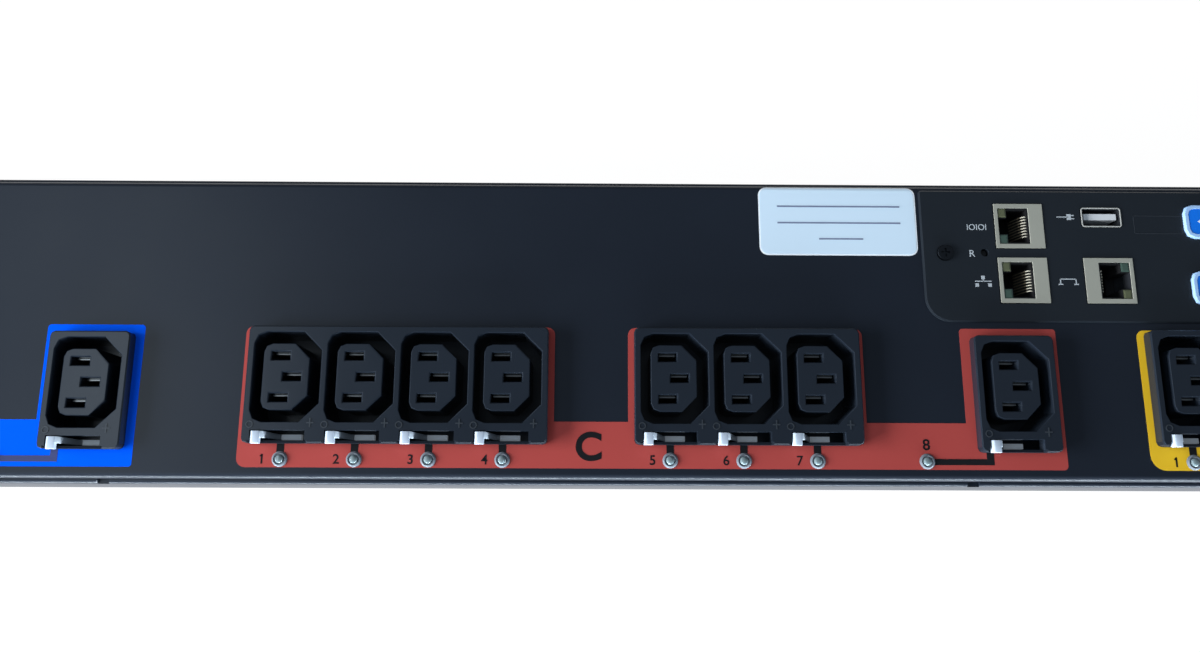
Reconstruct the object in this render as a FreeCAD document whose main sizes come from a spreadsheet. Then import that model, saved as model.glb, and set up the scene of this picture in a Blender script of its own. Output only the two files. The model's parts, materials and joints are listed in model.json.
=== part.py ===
import FreeCAD, Part
import math
import os
import Sketcher

# Rack power distribution unit: a folded steel case with three colour sections of eight appliance outlets,
# a sliding retaining lever at each outlet, and a control module with jacks, buttons and a display.
# Lengths are in millimetres. X runs along the case, Y across it and Z out of its front. The origin is the
# centre of the back wall, on which the unit lies.

SIZES = {
    # Case of folded sheet
    "tray_length": 950,
    "tray_width": 106.2,
    "case_depth": 53,
    "sheet_gauge": 1.6,
    "bend_inside": 0.4,
    "lap_clearance": 0.1,
    "cover_lap": 9,
    "rim_set_back": 3,
    "rim_notch_width": 4,
    "rim_notch_depth": 1.2,
    "rim_notch_start": -179,
    "rim_notch_pitch": 289.3,
    "fixing_hole": 5.2,
    "fixing_span": 780,
    "fixing_gap": 60,
    # End plates and screws
    "end_gauge": 1.5,
    "end_tab_length": 12,
    "side_tab_low": 9,
    "side_tab_gap": 4,
    "front_tab_width": 60,
    "screw_inset": 6,
    "side_screw_height": 25,
    "screw_shank": 2.8,
    "screw_length": 6,
    "screw_head": 5.6,
    "screw_head_rise": 1,
    "screw_hole": 3.2,
    # Cable gland
    "gland_height": 26,
    "gland_bore": 17,
    "gland_thread": 25,
    "gland_hole_clearance": 0.5,
    "gland_hex": 31,
    "gland_flange": 6,
    "gland_collar": 24,
    "gland_collar_length": 10,
    "gland_inner_length": 9,
    "lock_nut_thickness": 5,
    "dome_nut_hex_length": 11,
    "dome_nut_length": 19,
    "dome_nut_mouth": 21,
    "dome_nut_gap": 2,
    "thread_clearance": 0.15,
    # Places of the outlets
    "inlet_margin": 33.76,
    "far_margin": 34.24,
    "red_first": -118.64,
    "blue_reach": 309.7,
    "yellow_reach": 303.2,
    "outlet_pitch": 24.44,
    "second_group": 129,
    "single_outlet": 243.3,
    "group_row": -18,
    "single_row": -20.1,
    # Outlet blocks
    "flange_rise": 4,
    "flange_corner": 1.6,
    "flange_edge": 0.4,
    "block_end": 13.4,
    "block_top": 17.2,
    "block_bottom": 21.9,
    "flange_overlap": 1.5,
    "lip_width": 0.9,
    "block_depth": 20,
    "window_clearance": 0.3,
    "recess_width": 22.5,
    "recess_height": 30.2,
    "recess_depth": 17,
    "recess_chamfer": 6.2,
    "recess_corner": 4,
    "tower_width": 15.3,
    "tower_height": 22.3,
    "tower_chamfer": 5,
    "tower_corner": 2.8,
    "tower_shift": -0.3,
    "tower_set_back": 0.2,
    "slot_length": 6,
    "slot_width": 2.7,
    "line_reach": 7,
    "line_shift": -2.3,
    "earth_shift": 1.7,
    # Retaining levers
    "lever_slot_left": -10.7,
    "lever_slot_right": 7.3,
    "lever_slot_height": 3.3,
    "lip_scoop": 1.6,
    "scoop_slope": 0.8,
    "groove_right": 11.9,
    "groove_depth": 6.6,
    "groove_undercut": 0.8,
    "lever_clearance": 0.3,
    "lever_travel": 7.5,
    "lever_stop_gap": 0.5,
    "knob_width": 3.1,
    "knob_height": 4.1,
    "knob_proud": 0.5,
    "knob_edge": 0.5,
    "stem_width": 2.4,
    "arm_thickness": 2.4,
    "arm_run": 5,
    "foot_thickness": 2.2,
    # Outlet lights
    "light_row": -44.95,
    "light_shift": -1.5,
    "single_light_reach": 30.5,
    "light_head": 5.2,
    "light_crown": 3,
    "light_rise": 1.1,
    "light_stem": 2.4,
    "light_hole_clearance": 0.15,
    # Outlet boards, relays and contacts
    "board_thickness": 1.6,
    "board_top": -3,
    "board_bottom": -48,
    "light_gap": 0.3,
    "relay_length": 20,
    "relay_width": 10.5,
    "relay_height": 15.5,
    "contact_length": 5.2,
    "contact_gauge": 0.5,
    "contact_clearance": 0.15,
    "contact_set_back": 3,
    # Bus bars, comb supports and terminal block
    "bar_count": 5,
    "bar_first": 12,
    "bar_pitch": 8,
    "bar_thickness": 2,
    "bar_width": 12,
    "bar_floor": 9,
    "bar_end": 425,
    "comb_width": 10,
    "comb_rise": 5,
    "comb_margin": 3,
    "comb_clearance": 0.1,
    "comb_span": 320,
    "terminal_left": 459,
    "terminal_length": 28,
    "terminal_rise": 24,
    # Control module
    "module_left": 97,
    "module_bottom": 2.25,
    "module_length": 230,
    "module_height": 47.2,
    "module_rise": 1,
    "module_corner": 8.5,
    "module_top_corner": 1.2,
    "module_edge": 0.5,
    "module_overlap": 1.5,
    "module_wall": 2,
    "module_screw_inset": 7.7,
    "module_screw_row": 24.3,
    "module_screw_hole": 3.6,
    "fit_clearance": 0.2,
    # Jacks
    "jack_width": 17.1,
    "jack_height": 16.1,
    "jack_depth": 21,
    "jack_proud": 0.3,
    "jack_rim": 1.35,
    "jack_mouth_width": 10.6,
    "jack_mouth_height": 12.9,
    "jack_back": 1,
    "insert_clearance": 0.1,
    "insert_set_back": 0.4,
    "plug_width": 7,
    "plug_height": 11.9,
    "plug_depth": 14,
    "plug_rim": 0.4,
    "latch_height": 6,
    "latch_depth": 10,
    "jack_column": 34.4,
    "link_column": 64.1,
    "upper_jack_row": 34.2,
    "lower_jack_row": 14.7,
    # USB socket
    "usb_column": 63.4,
    "usb_row": 37.5,
    "usb_width": 14,
    "usb_height": 7.1,
    "usb_corner": 0.9,
    "usb_wall": 0.45,
    "usb_mouth_depth": 12,
    "tongue_width": 11.4,
    "tongue_height": 2.2,
    "tongue_shift": 0.4,
    "tongue_set_back": 1,
    # Buttons, reset and display
    "button_column": 98.5,
    "far_button_column": 175.1,
    "upper_button_row": 36,
    "lower_button_row": 12.2,
    "button_width": 12.6,
    "button_height": 12.2,
    "button_corner": 3.2,
    "button_rise": 0.9,
    "button_edge": 0.4,
    "button_clearance": 0.3,
    "button_flange": 1.2,
    "button_lip": 1,
    "button_stem": 4,
    "stem_length": 6,
    "button_travel": 0.8,
    "switch_gap": 0.2,
    "switch_width": 6,
    "reset_column": 21.7,
    "reset_row": 24.6,
    "reset_pin": 2.2,
    "reset_recess": 1.5,
    "display_column": 136.8,
    "display_row": 24.1,
    "display_width": 56,
    "display_height": 34,
    "display_ledge": 2,
    "display_glass": 0.8,
}
OUTLET_COUNTS = {"four": 4, "three": 3, "single": 1}
RIM_NOTCHES = 3
COMB_COUNT = 3
ROUND_SIDES = 8
CORNER_DIP = 1 - math.sqrt(0.5)

doc = FreeCAD.newDocument("rack_pdu")
sheet = doc.addObject("Spreadsheet::Sheet", "Sizes")
for sheet_row, (alias, number) in enumerate(SIZES.items(), start=1):
    sheet.set("A%d" % sheet_row, alias)
    sheet.set("B%d" % sheet_row, str(number))
    sheet.setAlias("B%d" % sheet_row, alias)
doc.recompute()
nodes = []


class Size:
    """A length that holds its number and the sheet expression that gives it."""

    def __init__(self, number, text):
        self.number = float(number)
        self.text = text

    def __add__(self, other):
        other = sized(other)
        return Size(self.number + other.number, "(%s + %s)" % (self.text, other.text))

    def __sub__(self, other):
        other = sized(other)
        return Size(self.number - other.number, "(%s - %s)" % (self.text, other.text))

    def __mul__(self, other):
        other = sized(other)
        return Size(self.number * other.number, "(%s * %s)" % (self.text, other.text))

    def __truediv__(self, other):
        other = sized(other)
        return Size(self.number / other.number, "(%s / %s)" % (self.text, other.text))

    def __neg__(self):
        return self * -1


def sized(value):
    """A plain number as a Size, and a Size as it is."""
    return value if isinstance(value, Size) else Size(value, repr(float(value)))


def larger(first, second):
    return Size(max(first.number, second.number), "max(%s; %s)" % (first.text, second.text))


class SheetSizes:
    """Gives each cell of the sheet by its alias."""

    def __getattr__(self, name):
        return Size(sheet.get(name), "Sizes." + name)


S = SheetSizes()
ZERO = sized(0)


# Helpers for bodies, sketches and features

def bind(thing, prop, size):
    """Drives one property of an object with a size."""
    thing.setExpression(prop, sized(size).text)


def new_body(label, x=ZERO, y=ZERO, z=ZERO, turned=False, node=True):
    """An empty body whose own origin sits at a place worked out from the sheet."""
    body = doc.addObject("PartDesign::Body", label)
    body.Label = label
    if turned:
        body.Placement.Rotation = FreeCAD.Rotation(FreeCAD.Vector(0, 0, 1), 180)
    for axis, size in zip("xyz", (x, y, z)):
        bind(body, "Placement.Base." + axis, size)
    if node:
        nodes.append(body)
    return body


def origin_feature(body, role):
    return next(item for item in body.Origin.OriginFeatures if item.Role == role)


def new_sketch(body, plane, offset=ZERO):
    """A sketch on one of the body's planes, moved along the normal: +Z of XY, -Y of XZ, +X of YZ."""
    sketch = body.newObject("Sketcher::SketchObject", body.Label + "_sketch")
    sketch.AttachmentSupport = [(origin_feature(body, plane + "_Plane"), "")]
    sketch.MapMode = "FlatFace"
    bind(sketch, "AttachmentOffset.Base.z", offset)
    return sketch


def constrain(sketch, wanted):
    """Adds (kind, geometry, size) constraints in one go, and binds each that has a size."""
    made = sketch.addConstraint([Sketcher.Constraint(kind, *where, *([] if size is None else [size.number]))
                                 for kind, where, size in wanted])
    for index, (_, _, size) in zip(made, wanted):
        if size is not None:
            bind(sketch, "Constraints[%d]" % index, size)


def fixed_point(geometry, position, x, y):
    """The two constraints that hold one point of a geometry at a place."""
    where = (-1, 1, geometry, position)
    return [("DistanceX", where, sized(x)), ("DistanceY", where, sized(y))]


def heading(start, end):
    """The unit steps along X and Y from one corner to the next, on a side that follows an axis."""
    across = end[0].number - start[0].number
    along = end[1].number - start[1].number
    if abs(across) > abs(along):
        return (math.copysign(1, across), 0)
    return (0, math.copysign(1, along))


def draw(sketch, corners):
    """A closed outline. A corner is (x, y), or (x, y, radius) to round it between sides along the axes."""
    corners = [tuple(sized(value) for value in corner) for corner in corners]
    points = []
    for index, corner in enumerate(corners):
        if len(corner) == 2:
            points.append((corner, None))
            continue
        x, y, radius = corner
        arrive = heading(corners[index - 1], corner)
        leave = heading(corner, corners[(index + 1) % len(corners)])
        points.append(((x - radius * arrive[0], y - radius * arrive[1]), radius))
        points.append(((x + radius * leave[0], y + radius * leave[1]), None))
    first = sketch.GeometryCount
    ends = []
    wanted = []
    for index, (point, radius) in enumerate(points):
        following = points[(index + 1) % len(points)][0]
        start = FreeCAD.Vector(point[0].number, point[1].number, 0)
        end = FreeCAD.Vector(following[0].number, following[1].number, 0)
        if radius is None:
            sketch.addGeometry(Part.LineSegment(start, end))
            ends.append((1, 2))
            continue
        before = points[index - 1][0]
        arrive = start - FreeCAD.Vector(before[0].number, before[1].number, 0)
        left_turn = arrive.cross(end - start).z > 0
        side = FreeCAD.Vector(-arrive.y, arrive.x, 0) * (1 if left_turn else -1)
        centre = start + side.normalize() * radius.number
        circle = Part.Circle(centre, FreeCAD.Vector(0, 0, 1), radius.number)
        pair = (start, end) if left_turn else (end, start)
        angles = [math.atan2(spot.y - centre.y, spot.x - centre.x) for spot in pair]
        arc = sketch.addGeometry(Part.ArcOfCircle(circle, *angles))
        wanted.append(("Radius", (arc,), radius))
        ends.append((1, 2) if left_turn else (2, 1))
    for index, (point, _) in enumerate(points):
        previous = (index - 1) % len(points)
        meeting = (first + previous, ends[previous][1], first + index, ends[index][0])
        wanted.append(("Coincident", meeting, None))
        wanted.extend(fixed_point(first + index, ends[index][0], *point))
    constrain(sketch, wanted)


def eased(corners):
    """The corners with each round one made of two flats, which keeps shapes that repeat often light."""
    points = []
    for index, corner in enumerate(corners):
        if len(corner) == 2:
            points.append(corner)
            continue
        x, y, radius = (sized(value) for value in corner)
        ends = [tuple(sized(value) for value in corners[place % len(corners)])
                for place in (index - 1, index + 1)]
        arrive = heading(ends[0], (x, y))
        leave = heading((x, y), ends[1])
        dip = [radius * (CORNER_DIP * (after - before)) for after, before in zip(leave, arrive)]
        points.append((x - radius * arrive[0], y - radius * arrive[1]))
        points.append((x + dip[0], y + dip[1]))
        points.append((x + radius * leave[0], y + radius * leave[1]))
    return points


def rectangle(sketch, left, bottom, right, top, radius=None):
    corners = [(left, bottom), (right, bottom), (right, top), (left, top)]
    draw(sketch, corners if radius is None else eased([corner + (radius,) for corner in corners]))


def centred(sketch, x, y, width, height, radius=None):
    x, y = sized(x), sized(y)
    half, rise = sized(width) / 2, sized(height) / 2
    rectangle(sketch, x - half, y - rise, x + half, y + rise, radius)


def circle(sketch, x, y, diameter):
    x, y, diameter = sized(x), sized(y), sized(diameter)
    centre = FreeCAD.Vector(x.number, y.number, 0)
    ring = sketch.addGeometry(Part.Circle(centre, FreeCAD.Vector(0, 0, 1), diameter.number / 2))
    constrain(sketch, fixed_point(ring, 3, x, y) + [("Diameter", (ring,), diameter)])


def pad(body, sketch, length, reverse=False):
    feature = body.newObject("PartDesign::Pad", body.Label + "_pad")
    feature.Profile = sketch
    feature.Reversed = reverse
    bind(feature, "Length", length)
    return feature


def pocket(body, sketch, depth=None, reverse=False):
    """Cuts against the sketch's normal, or along it when reversed, right through when no depth is given."""
    feature = body.newObject("PartDesign::Pocket", body.Label + "_pocket")
    feature.Profile = sketch
    feature.Reversed = reverse
    if depth is None:
        feature.Type = "ThroughAll"
    else:
        bind(feature, "Length", depth)
    return feature


def chamfer(body, base, height, size):
    """Breaks those edges of the base feature that lie flat at one height."""
    base.recompute(True)
    names = []
    for index, edge in enumerate(base.Shape.Edges, start=1):
        box = edge.BoundBox
        if abs(box.ZMin - height.number) < 1e-4 and abs(box.ZMax - height.number) < 1e-4:
            names.append("Edge%d" % index)
    feature = body.newObject("PartDesign::Chamfer", body.Label + "_chamfer")
    feature.Base = (base, names)
    bind(feature, "Size", size)


def repeat(body, features, axis, reach, count):
    """A row of copies of the features along one of the body's axes, with the last copy at the reach."""
    pattern = body.newObject("PartDesign::LinearPattern", body.Label + "_row")
    pattern.Originals = features
    pattern.Direction = (origin_feature(body, axis + "_Axis"), [""])
    pattern.Occurrences = count
    pattern.Refine = True
    bind(pattern, "Length", reach)
    body.Tip = pattern


def new_set(label, bodies, x=ZERO, y=ZERO, z=ZERO):
    """A node that gathers finished bodies, moved as one to a place worked out from the sheet."""
    compound = doc.addObject("Part::Compound", label)
    compound.Label = label
    compound.Links = bodies
    for axis, size in zip("xyz", (x, y, z)):
        bind(compound, "Placement.Base." + axis, size)
    nodes.append(compound)


def new_group(label, shapes):
    """A node that holds loose solids of one kind, made from the sheet's numbers."""
    feature = doc.addObject("Part::Feature", label)
    feature.Label = label
    feature.Shape = Part.makeCompound(shapes)
    nodes.append(feature)


def box_between(low, high):
    """A solid box from its lowest to its highest corner, each three sizes."""
    start = FreeCAD.Vector(*(sized(value).number for value in low))
    end = FreeCAD.Vector(*(sized(value).number for value in high))
    return Part.makeBox(*(end - start), start)


def at(x, y, z):
    return FreeCAD.Vector(*(sized(value).number for value in (x, y, z)))


def post(lower, upper, low, high):
    """A small round post with few sides, from its lower diameter at one height to its upper at another."""
    rings = []
    for diameter, height in ((lower, low), (upper, high)):
        turns = [2 * math.pi * (side + 0.5) / ROUND_SIDES for side in range(ROUND_SIDES + 1)]
        radius = sized(diameter).number / 2
        corners = [FreeCAD.Vector(radius * math.cos(turn), radius * math.sin(turn), sized(height).number)
                   for turn in turns]
        rings.append(Part.makePolygon(corners))
    return Part.makeLoft(rings, True, True)


# Places that several pieces share

half_length = S.tray_length / 2
half_width = S.tray_width / 2
cover_half_width = half_width - S.sheet_gauge - S.lap_clearance
cover_flange_end = S.case_depth - S.cover_lap
rim_height = S.case_depth - S.rim_set_back
bend_radius = S.bend_inside + S.sheet_gauge
# The sections and a margin at each end need a certain length. Places along the case spread out or draw in
# so that they fill its real length.
inlet_reach = S.blue_reach - S.red_first + S.block_end + S.inlet_margin
far_reach = S.red_first + S.yellow_reach + S.single_outlet + S.block_end + S.far_margin
spread = half_length / larger(inlet_reach, far_reach)
section_starts = {
    "blue": (S.red_first - S.blue_reach) * spread,
    "red": S.red_first * spread,
    "yellow": (S.red_first + S.yellow_reach) * spread,
}
gangs = (("four", OUTLET_COUNTS["four"], ZERO, S.group_row),
         ("three", OUTLET_COUNTS["three"], S.second_group * spread, S.group_row),
         ("single", OUTLET_COUNTS["single"], S.single_outlet * spread, S.single_row))
outlets = {section: [(start + first + S.outlet_pitch * place, row)
                     for _, count, first, row in gangs for place in range(count)]
           for section, start in section_starts.items()}
every_outlet = [outlet for row in outlets.values() for outlet in row]
lights = {section: [x + S.light_shift for x, _ in row[:-1]] + [row[-1][0] - S.single_light_reach]
          for section, row in outlets.items()}
block_floor = S.case_depth - S.block_depth
body_bottom = -(S.block_bottom - S.lip_width)
end_screws = (-(half_length - S.screw_inset), half_length - S.screw_inset)
light_hole = S.light_stem + S.light_hole_clearance * 2
module_depth = S.jack_depth - S.module_rise - S.jack_proud
module_plate_back = S.module_rise - S.module_wall
module_screws = [(S.module_screw_inset, S.module_screw_row),
                 (S.module_length - S.module_screw_inset, S.module_screw_row)]
jacks = {"serial": (S.jack_column, S.upper_jack_row, False),
         "network": (S.jack_column, S.lower_jack_row, False),
         "link": (S.link_column, S.lower_jack_row, True)}
buttons = {"back_button": (S.button_column, S.upper_button_row),
           "down_button": (S.button_column, S.lower_button_row),
           "up_button": (S.far_button_column, S.upper_button_row),
           "enter_button": (S.far_button_column, S.lower_button_row)}
key_stem_end = module_plate_back - S.button_clearance - S.button_flange - S.stem_length
terminal_left = -(S.terminal_left * spread)
comb_places = [S.comb_span * spread * (place - (COMB_COUNT - 1) / 2) for place in range(COMB_COUNT)]
bar_rows = [S.bar_first + S.bar_pitch * place for place in range(int(S.bar_count.number))]


# Case

def module_outline(sketch, inset=ZERO, top_corner=None, left=ZERO, bottom=ZERO):
    """The module's outline drawn in by an inset, with large round corners below."""
    right = left + S.module_length - inset
    top = bottom + S.module_height - inset
    low = S.module_corner - inset
    upper = () if top_corner is None else (top_corner,)
    draw(sketch, [(left + inset, bottom + inset, low), (right, bottom + inset, low),
                  (right, top) + upper, (left + inset, top) + upper])


def rear_tray():
    """A channel bent from one sheet, with one notched rim, screw holes and four fixing holes in its back."""
    body = new_body("rear_tray")
    outer = new_sketch(body, "YZ", -half_length)
    draw(outer, [(-half_width, 0, bend_radius), (half_width, 0, bend_radius),
                 (half_width, rim_height), (-half_width, rim_height)])
    pad(body, outer, S.tray_length)
    inner = new_sketch(body, "YZ", -half_length)
    wall = half_width - S.sheet_gauge
    draw(inner, [(-wall, S.sheet_gauge, S.bend_inside), (wall, S.sheet_gauge, S.bend_inside),
                 (wall, S.case_depth), (-wall, S.case_depth)])
    pocket(body, inner, reverse=True)
    sides = new_sketch(body, "XZ", half_width)
    for x in end_screws:
        circle(sides, x, S.side_screw_height, S.screw_hole)
    pocket(body, sides)
    back = new_sketch(body, "XY", S.sheet_gauge)
    for x in (-(S.fixing_span / 2), S.fixing_span / 2):
        for y in (-(S.fixing_gap / 2), S.fixing_gap / 2):
            circle(back, x, y, S.fixing_hole)
    pocket(body, back, S.sheet_gauge)
    notch = new_sketch(body, "XZ", half_width)
    half_notch = S.rim_notch_width / 2
    first = S.rim_notch_start * spread
    rectangle(notch, first - half_notch, rim_height - S.rim_notch_depth, first + half_notch, S.case_depth)
    notches = pocket(body, notch, S.sheet_gauge)
    repeat(body, [notches], "X", S.rim_notch_pitch * spread * (RIM_NOTCHES - 1), RIM_NOTCHES)


def front_cover():
    """A sheet bent down along both long edges, cut out for the blocks, lights and module."""
    body = new_body("front_cover")
    outer = new_sketch(body, "YZ", -half_length)
    draw(outer, [(-cover_half_width, cover_flange_end), (cover_half_width, cover_flange_end),
                 (cover_half_width, S.case_depth, bend_radius),
                 (-cover_half_width, S.case_depth, bend_radius)])
    pad(body, outer, S.tray_length)
    inner = new_sketch(body, "YZ", -half_length)
    wall = cover_half_width - S.sheet_gauge
    under = S.case_depth - S.sheet_gauge
    below = cover_flange_end - S.sheet_gauge
    draw(inner, [(-wall, below), (wall, below),
                 (wall, under, S.bend_inside), (-wall, under, S.bend_inside)])
    pocket(body, inner, reverse=True)
    side = S.block_end - S.flange_overlap + S.window_clearance
    for section, start in section_starts.items():
        windows = new_sketch(body, "XY", S.case_depth)
        for _, count, first, row in gangs:
            rectangle(windows, start + first - side, row + body_bottom - S.window_clearance,
                      start + first + S.outlet_pitch * (count - 1) + side,
                      row + S.block_top - S.flange_overlap + S.window_clearance)
        pocket(body, windows, S.sheet_gauge)
        holes = new_sketch(body, "XY", S.case_depth)
        for x in lights[section]:
            centred(holes, x, S.light_row, light_hole, light_hole)
        pocket(body, holes, S.sheet_gauge)
    place = new_sketch(body, "XY", S.case_depth)
    module_outline(place, S.module_overlap - S.window_clearance, left=S.module_left, bottom=S.module_bottom)
    pocket(body, place, S.sheet_gauge)


def end_plate(label, turned, with_gland):
    """A plate over the open end: two tabs screwed to the walls and one welded under the cover."""
    body = new_body(label, x=-half_length if turned else half_length, turned=turned)
    face = new_sketch(body, "YZ")
    rectangle(face, -half_width, 0, half_width, S.case_depth, bend_radius)
    pad(body, face, S.end_gauge)
    tabs = new_sketch(body, "YZ")
    outside = half_width - S.sheet_gauge - S.lap_clearance
    inside = outside - S.end_gauge
    tab_top = cover_flange_end - S.side_tab_gap
    rectangle(tabs, inside, S.side_tab_low, outside, tab_top)
    rectangle(tabs, -outside, S.side_tab_low, -inside, tab_top)
    under = S.case_depth - S.sheet_gauge - S.lap_clearance
    rectangle(tabs, -(S.front_tab_width / 2), under - S.end_gauge, S.front_tab_width / 2, under)
    pad(body, tabs, S.end_tab_length, reverse=True)
    sides = new_sketch(body, "XZ", half_width)
    circle(sides, -S.screw_inset, S.side_screw_height, S.screw_hole)
    pocket(body, sides)
    if with_gland:
        entry = new_sketch(body, "YZ", S.end_gauge)
        circle(entry, 0, S.gland_height, S.gland_thread + S.gland_hole_clearance)
        pocket(body, entry, S.end_gauge)


def screw(seat, direction):
    """A pan-head screw: the head stands on its seat and the shank goes into the work."""
    head = post(S.screw_head, S.screw_head - S.screw_head_rise, ZERO, S.screw_head_rise)
    shape = head.fuse(post(S.screw_shank, S.screw_shank, -S.screw_length, ZERO))
    shape.Placement = FreeCAD.Placement(seat, FreeCAD.Rotation(FreeCAD.Vector(0, 0, 1), direction))
    return shape


def screws():
    """The case screws in the side walls, and the two that hold the module."""
    shapes = []
    for x in end_screws:
        for side in (1, -1):
            seat = at(x, half_width * side, S.side_screw_height)
            shapes.append(screw(seat, FreeCAD.Vector(0, side, 0)))
    for x, y in module_screws:
        seat = at(S.module_left + x, S.module_bottom + y, S.case_depth + S.module_rise)
        shapes.append(screw(seat, FreeCAD.Vector(0, 0, 1)))
    new_group("screws", shapes)


# Cable gland, drawn along X with the outside of the end plate at zero

def gland_piece(label):
    return new_body(label, x=-(half_length + S.end_gauge), z=S.gland_height, turned=True)


def hexagon(sketch, across_flats):
    """A hexagon with two of its flats level, every corner worked out from the width across flats."""
    slope = math.sqrt(3)
    flat = across_flats / 2
    corner = across_flats / slope
    draw(sketch, [(corner, ZERO), (corner / 2, flat), (-(corner / 2), flat),
                  (-corner, ZERO), (-(corner / 2), -flat), (corner / 2, -flat)])


def gland_body():
    body = gland_piece("gland_body")
    flange = new_sketch(body, "YZ")
    hexagon(flange, S.gland_hex)
    pad(body, flange, S.gland_flange)
    collar = new_sketch(body, "YZ", S.gland_flange)
    circle(collar, 0, 0, S.gland_collar)
    pad(body, collar, S.gland_collar_length)
    thread = new_sketch(body, "YZ")
    circle(thread, 0, 0, S.gland_thread)
    pad(body, thread, S.end_gauge + S.gland_inner_length, reverse=True)
    bore = new_sketch(body, "YZ", S.gland_flange + S.gland_collar_length)
    circle(bore, 0, 0, S.gland_bore)
    pocket(body, bore)


def gland_dome_nut():
    """The clamping nut: a hexagon that runs into a rounded nose, screwed over the collar."""
    body = gland_piece("gland_dome_nut")
    start = S.gland_flange + S.dome_nut_gap
    grip = new_sketch(body, "YZ", start)
    hexagon(grip, S.gland_hex)
    pad(body, grip, S.dome_nut_hex_length)
    nose = new_sketch(body, "XZ")
    shoulder = start + S.dome_nut_hex_length
    end = start + S.dome_nut_length
    radius = S.gland_hex / 2
    draw(nose, [(shoulder, ZERO), (end, ZERO), (end, S.dome_nut_mouth / 2),
                (shoulder + (end - shoulder) / 2, radius - (radius - S.dome_nut_mouth / 2) / 4),
                (shoulder, radius)])
    turn = body.newObject("PartDesign::Revolution", "gland_dome_nut_nose")
    turn.Profile = nose
    turn.ReferenceAxis = (origin_feature(body, "X_Axis"), [""])
    turn.Angle = 360
    hollow = new_sketch(body, "YZ", start)
    circle(hollow, 0, 0, S.gland_collar + S.thread_clearance * 2)
    pocket(body, hollow, S.gland_collar_length - S.dome_nut_gap + S.thread_clearance, reverse=True)
    bore = new_sketch(body, "YZ", end)
    circle(bore, 0, 0, S.gland_bore)
    pocket(body, bore)


def gland_lock_nut():
    body = gland_piece("gland_lock_nut")
    nut = new_sketch(body, "YZ", -S.end_gauge)
    hexagon(nut, S.gland_hex)
    circle(nut, 0, 0, S.gland_thread + S.thread_clearance * 2)
    pad(body, nut, S.lock_nut_thickness, reverse=True)


# Outlet blocks and levers, modelled once with the first outlet's centre on the cover's outside at zero

def keyed(sketch, width, height, cut, radius, shift=ZERO):
    """The outlet's outline: two cut corners on the earth side and two rounded ones on the other."""
    left, right = shift - width / 2, shift + width / 2
    top = height / 2
    draw(sketch, eased([(left, -top, radius), (right - cut, -top), (right, -(top - cut)),
                        (right, top - cut), (right - cut, top), (left, top, radius)]))


def outlet_block(name, count):
    """A moulded gang: a flange on the cover, keyed recesses round slotted towers, and lever slots."""
    body = new_body(name + "_gang", node=False)
    reach = S.outlet_pitch * (count - 1)
    flange = new_sketch(body, "XY")
    rectangle(flange, -S.block_end, -S.block_bottom, reach + S.block_end, S.block_top, S.flange_corner)
    rim = pad(body, flange, S.flange_rise)
    chamfer(body, rim, S.flange_rise, S.flange_edge)
    side = S.block_end - S.flange_overlap
    shell = new_sketch(body, "XY")
    rectangle(shell, -side, body_bottom, reach + side, S.block_top - S.flange_overlap)
    pad(body, shell, S.block_depth, reverse=True)
    opening = new_sketch(body, "XY", S.flange_rise)
    keyed(opening, S.recess_width, S.recess_height, S.recess_chamfer, S.recess_corner)
    mouth = pocket(body, opening, S.tower_set_back)
    ring = new_sketch(body, "XY", S.flange_rise)
    keyed(ring, S.recess_width, S.recess_height, S.recess_chamfer, S.recess_corner)
    keyed(ring, S.tower_width, S.tower_height, S.tower_chamfer, S.tower_corner, S.tower_shift)
    recess = pocket(body, ring, S.recess_depth)
    slots = new_sketch(body, "XY", S.flange_rise)
    centred(slots, S.line_shift, S.line_reach, S.slot_length, S.slot_width)
    centred(slots, S.earth_shift, 0, S.slot_length, S.slot_width)
    centred(slots, S.line_shift, -S.line_reach, S.slot_length, S.slot_width)
    contact_slots = pocket(body, slots)
    slot_top = body_bottom + S.lever_slot_height
    window = new_sketch(body, "XY", S.flange_rise)
    rectangle(window, S.lever_slot_left, body_bottom, S.lever_slot_right, slot_top)
    lever_window = pocket(body, window, S.flange_rise)
    channel = new_sketch(body, "XY")
    rectangle(channel, S.lever_slot_left, -S.block_bottom, S.groove_right, slot_top + S.groove_undercut)
    groove = pocket(body, channel, S.groove_depth)
    dip = new_sketch(body, "XZ", S.block_bottom)
    low, high = S.flange_rise - S.lip_scoop, S.flange_rise
    draw(dip, [(S.lever_slot_left - S.scoop_slope, high), (S.lever_slot_left, low),
               (S.lever_slot_right, low), (S.lever_slot_right + S.scoop_slope, high)])
    scoop = pocket(body, dip, S.lip_width)
    if count > 1:
        repeat(body, [mouth, recess, contact_slots, lever_window, groove, scoop], "X", reach, count)
    return body


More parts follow.
